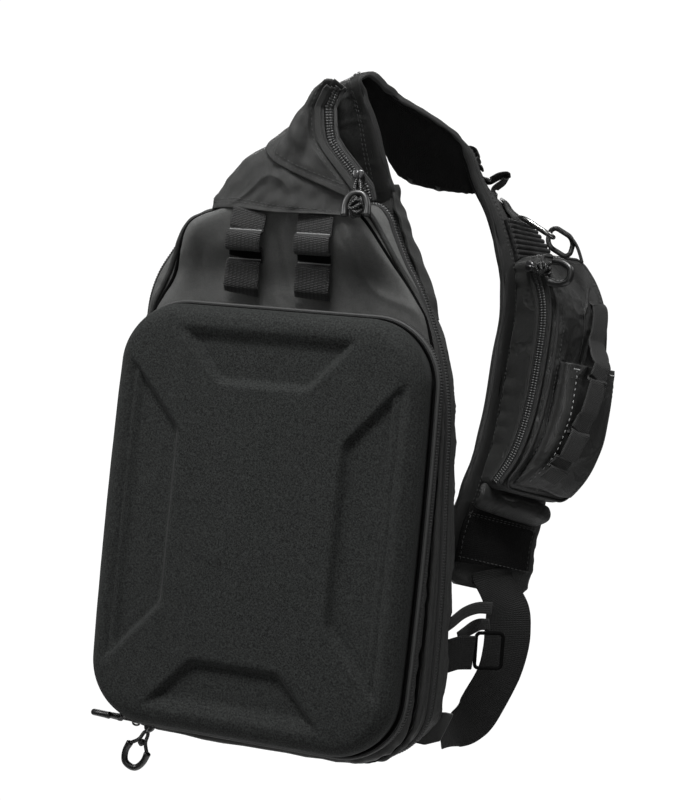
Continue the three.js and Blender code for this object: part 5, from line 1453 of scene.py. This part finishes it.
edge_ribbon("side_web", [
    strap_exit(22.42, 1.4), strap_exit(22.85, 2.2), (1.146, 0.839, 0.256, 44, 9), (1.155, 0.821, 0.215, 40, 7),
    (1.155, 0.786, 0.172, 42, 2), (1.138, 0.714, 0.128, 46, 2), (1.088, 0.571, 0.087, 48, 9),
    (1.046, 0.375, 0.059, 52, 19), (0.996, 0.179, 0.046, 62, 26), (0.946, 0.054, 0.037, 74, 30)],
            38, side_web, "side_webbing", 200, 24)
edge_ribbon("stabiliser_band_web", [(1.058, -0.111, 0.215, 90, 90), (1.105, 0.071, 0.218, 90, 90),
                                    (1.121, 0.143, 0.217, 90, 90), (1.166, 0.273, 0.215, 90, 90)], 25, side_web,
            "stabiliser_band", 60)
edge_ribbon("stabiliser_upper_web", [
    (1.01, -0.26, 0.243, 90, 80), (1.063, -0.1, 0.256, 90, 80), (1.113, 0.107, 0.272, 90, 80),
    (1.172, 0.304, 0.279, 90, 86), (1.238, 0.464, 0.277, 90, 90)], 9, webbing, "stabiliser_upper_ribbon", 60, 6)
edge_ribbon("stabiliser_lower_web", [
    (1.075, 0.17, 0.222, 60, 80), (1.113, 0.357, 0.233, 60, 80), (1.172, 0.384, 0.245, 60, 80),
    (1.238, 0.368, 0.248, 60, 80)], 9, webbing, "stabiliser_lower_ribbon", 50, 6)
buckle_centre = np.array([1.247 * HALF, 0.393 * SWAY, 0.187 * TALL])
buckle_across = np.array([np.cos(np.radians(30)), np.sin(np.radians(30)), 0])
frame_line = soft_rectangle(26, 20, 3, 64)
cord("buckle_frame", buckle_centre + frame_line[:, 1:] * buckle_across + frame_line[:, :1] * np.array([0, 0, 1.0]),
     1.4, buckle_paint, "moulded_plastic", "stabiliser_buckle", 12, True)
tell("With the side webbing and the stabiliser")

# %% The corner tab
RIGHT = SIDES[0, 2] * HALF
angle = np.radians(np.linspace(-62, -16, 40))
seat = np.stack([RIGHT - 42 + 41.9 * np.cos(angle), 42 + 41.9 * np.sin(angle)], 1)
free = evenly(np.array([seat[0], (RIGHT - 12, 4.5), (RIGHT - 1, 9), (RIGHT + 7.5, 30), seat[-1]]), 40)
mix = np.linspace(0, 1, 14)[None, :, None]
flat = seat[:, None] * (1 - mix) + free[:, None] * mix
tab = np.stack([flat[..., 0], np.full(flat.shape[:2], -8.5), flat[..., 1]], -1)
slab("corner_tab_cloth", tab, np.broadcast_to([0, -1.0, 0], tab.shape), 3, cloth, "bag_cloth", "corner_tab")
tell("With the corner tab")

# %% [markdown]
# ## Pulls
# Each zip's slider has a loop of cord, knotted once, and its ends are moulded into a soft U-shaped grip.
# The cord is a smooth curve through a few points, and the grip is a thick tube that swells at its ends.

# %% Sliders, cords and grips
def pull(name, at, down, side, upside=False, thickness=2.4, ball=(6.5, 1.9, 3.4, 0.95)):
    """Slider, two bridges, cord, grip and knot, in three directions: down, side and face = down x side.

    The ball is the start, half width, length and cord radius of the knot, a spiral along down.
    """
    down = unit(*down)
    side = unit(*(np.array(side) - (np.array(side) @ down) * down))
    face = np.cross(down, side)
    at = np.array(at, float)
    t = np.linspace(-1, 1, 25)
    turn = np.linspace(0, 2 * np.pi, 25)[:-1]
    wide = 4.0 * (1 - 0.3 * soft(t)) * (1 - np.abs(t) ** 6) ** 0.5
    ellipse = np.stack([np.sign(wave) * np.abs(wave) ** 0.5 for wave in (np.cos(turn), np.sin(turn))], 1)
    tall = 2.0 * (1 - np.abs(t) ** 8) ** 0.5
    middle = at - down * 0.5 + t[:, None] * down * 3.5
    grid = (middle[:, None] + (wide[:, None] * ellipse[:, 0])[..., None] * side
            + (tall[:, None] * ellipse[:, 1])[..., None] * face)
    weld(grid_piece(name + "_slider_body", grid, enamel, "dark_metal", name + "_slider", (False, True)))
    bridge = through([(-2.6, 1.2), (-2.2, 3.1), (0, 4.0), (2.4, 3.2), (3.2, 1.4)], np.linspace(0, 4, 24))
    for which, sign in (("front", 1), ("back", -1)):
        cord(f"{name}_bridge_{which}", at - down * 0.5 + bridge[:, :1] * down + bridge[:, 1:] * face * sign * 0.8,
             0.75, enamel, "dark_metal", (), 8)
    knot = at + down * 5
    grip = [knot + down * 9 + side * a * 15.4 + down * (0.95 - b if upside else b) * 20.25 for a, b in
            ((-0.5, 0.15), (-0.5, 0.6), (-0.3, 0.93), (0, 1), (0.3, 0.93), (0.5, 0.6), (0.5, 0.15))]
    ends = [end + down * (-1.8 if upside else 1.8) for end in (grip[0], grip[-1])]
    line = [ends[0], (ends[0] + knot) / 2 + side, knot - side * 1.5, knot - down * 2, knot + side * 1.5,
            (ends[1] + knot) / 2 - side, ends[1]]
    cord(name + "_cord_braid", through(line, np.linspace(0, 6, 72)), 1.4, cord_paint, "cord", name + "_cord", 10)
    t = np.linspace(0, 6, 90)
    thick = thickness + 0.35 * np.exp(-(np.minimum(t, 6 - t) / 0.5) ** 2)
    cord(name + "_grip_mould", through(grip, t), thick * np.sqrt(np.clip(np.minimum(t, 6 - t) / 0.12, 0.05, 1)),
         plastic, "moulded_plastic", name + "_grip", 14)
    start, around, length, radius = ball
    turns = np.linspace(0, 1, 110)
    swing = around * np.sin(np.pi * (0.12 + 0.76 * turns))
    winding = knot + down * (start + length * (turns + 0.12 * np.sin(turns * 57)))[:, None] + (
        (swing * np.cos(turns * 25))[:, None] * side + (swing * np.sin(turns * 25))[:, None] * face)
    cord(name + "_knot", winding, radius, cord_paint, "cord", (), 8)


def shell_bottom(across, below):
    """A place on the shell's zip, under its lower edge."""
    return SHELL_CENTRE + np.array([across, 0, 0]) + SHELL_UP * (1 - SHELL_HEIGHT / 2 - below) - SHELL_OUT * 9.8


pull("shell_pull_left", shell_bottom(-87, 1.6), (-0.99, 0.02, 0.02), (0.1, 0.93, -0.3))
pull("shell_pull_right", shell_bottom(-76, 5), (-0.42, 0, -0.9), (0.9, 0.1, -0.42))
pull("peak_pull", (0.452 * HALF, -54.8, 0.863 * PEAK), (0.1, -0.3, -0.95), (1, 0.1, 0), True, 2.7,
     (12.0, 4.6, 12.0, 1.3))
pull("pocket_pull", (1.155 * REACH, 0.877 * SWAY, 0.7354 * CROWN_HEIGHT), (0.93, -0.3, -0.12), (0.1, 0.1, 1),
     False, 2.7, (-1.0, 4.2, 12.0, 1.2))
tell("With the pulls")

# %% [markdown]
# ## Stitches
# Seams are followed by lines of stitches, a row of small spindles each. Bar tacks, where webbing takes a
# load, are the same with short, wide ones close together.

# %% Lines of stitches
strap_out = strap_frame(strap_rows)[3]
strap_places = np.linspace(0, 1, STRAP_COLUMNS) * STRAP_WIDTH
strap_lines = [strap_points[6:400, np.argmin(np.abs(strap_places - place))] + strap_out[6:400] * 0.12
               for inset in (8.5, 11.5) for place in (inset, STRAP_WIDTH - inset)]
stitches("strap_stitches", strap_lines, [strap_out[6:400]] * len(strap_lines))


def seams(name, places, *sizes):
    """Stitches along parts of grids: a grid, its normals, the part, and how far the thread stands off."""
    lines, outs = zip(*[(grid[part] + away[part] * off, away[part]) for grid, away, part, off in places])
    stitches(name, lines, outs, *sizes)


hem, along = slice(6, -6), slice(4, -4)
seams("yoke_stitches", [(lower, lower_away, (hem, k), 0.15) for k in (6, 9)]
      + [(upper, upper_away, part, 0.15) for part in ((hem, 4), (hem, 7), (12, slice(4, -3)))])
seams("pocket_stitches", [(pocket_points, pocket_away, pocket_seam, 0.15)])
seams("small_pocket_stitches", [(small, small_away, part, 0.15) for part in ((along, 5), (along, 8), (-8, along))])
seams("small_pocket_front_stitches", [(small, small_away, (8, along), 0.2)], 4.2, 2.4, 0.7, tack_paint)
seams("small_pocket_tacks", [(small, small_away, (slice(k, k + 7), 3), 0.4) for k in (5, 52)],
      0.95, 0.8, 1.5, tack_paint)
stitches("webbing_tacks", tacks, [np.array([0, -1.0, 0.1])] * len(tacks), 0.95, 0.8, 1.3, tack_paint)


def patch_line(rows, across, height):
    """A straight line on the strap, and the way out at each of its points."""
    row, over = np.linspace(*rows, 50), np.linspace(*across, 50)
    return on_strap(row, over, np.full(50, height)), strap_frame(row)[3]


patch_box = [patch_line((row, row), over, FACE + height) for row, over, height in
             ((20.55, (9, 73), 3.3), (22.2, (9, 73), 3.3), (20.62, (9, 73), 3.3), (19.98, (6, 76), 10.1),
              (20.2, (6, 76), 5.0))]
patch_box[3:3] = [patch_line((20.5, 22.25), (across, across), FACE + 3.3) for across in (10, 72)]
stitches("strap_end_stitches", *zip(*patch_box))
tell("With the stitches")

# %% [markdown]
# ## Floor and light
# The bag hangs from a hook at shoulder height, so the pale floor is far below it. The room behind is white,
# and most of the light falls from above, which brings out the relief of the shell and the folds. Weak lamps
# at the sides and behind keep the dark cloth readable from there.

# %% Floor and light
bpy.ops.mesh.primitive_plane_add(size=2.6, location=(0, 0, -1.5))
floor = bpy.context.object
floor.name = "floor"
floor_paint = bpy.data.materials.new("pale_floor")
floor_paint.use_nodes = True
floor_paint.node_tree.nodes["Principled BSDF"].inputs["Base Color"].default_value = (0.93, 0.93, 0.93, 1)
floor_paint.node_tree.nodes["Principled BSDF"].inputs["Roughness"].default_value = 0.95
floor.data.materials.append(floor_paint)
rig.stage(floor)
world = bpy.data.worlds.new("room")
world.use_nodes = True
room = world.node_tree.nodes["Background"]
room.inputs["Color"].default_value = (1, 1, 1, 1)
room.inputs["Strength"].default_value = 0.1
wall = world.node_tree.nodes.new("ShaderNodeBackground")
wall.inputs["Color"].default_value = (1, 1, 1, 1)
wall.inputs["Strength"].default_value = 1.05
ray, both = world.node_tree.nodes.new("ShaderNodeLightPath"), world.node_tree.nodes.new("ShaderNodeMixShader")
for output, socket in ((ray.outputs["Is Camera Ray"], both.inputs[0]), (room.outputs[0], both.inputs[1]),
                       (wall.outputs[0], both.inputs[2]),
                       (both.outputs[0], world.node_tree.nodes["World Output"].inputs["Surface"])):
    world.node_tree.links.new(output, socket)
scene.world = world
scene.view_settings.view_transform = "Standard"


def area_light(name, at, to, size, power):
    """A square lamp that looks from one point to another."""
    lamp = bpy.data.lights.new(name, "AREA")
    lamp.energy, lamp.size = power, size
    thing = bpy.data.objects.new(name, lamp)
    scene.collection.objects.link(thing)
    away = np.array(at, float) - np.array(to, float)
    away /= np.linalg.norm(away)
    side = np.cross([0, 0, 1], away)
    side /= np.linalg.norm(side)
    turn = np.stack([side, np.cross(away, side), away], 1)
    thing.matrix_world = Matrix.Translation(at) @ Matrix(turn.tolist()).to_4x4()


area_light("key", (0.0, -1.0, 1.9), (0, 0, -0.2), 0.7, 105)
area_light("left", (-1.7, -0.9, 1.1), (0, 0, -0.15), 0.8, 34)
area_light("right", (1.3, 0.3, 0.9), (0, 0, -0.15), 0.7, 12)
area_light("front", (0.7, -2.2, 0.2), (0, 0, -0.25), 1.4, 10)
area_light("back", (-0.9, 2.2, 0.9), (0, 0.1, -0.25), 1.2, 40)
print("Lights:", len(bpy.data.lights))

# %% Measure and finish
json.dump({"cad": [list(p) for p in cad_box], "visual": [list(p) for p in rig.bounds()]},
          open("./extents.json", "w"))
print("Boxes", json.load(open("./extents.json")))
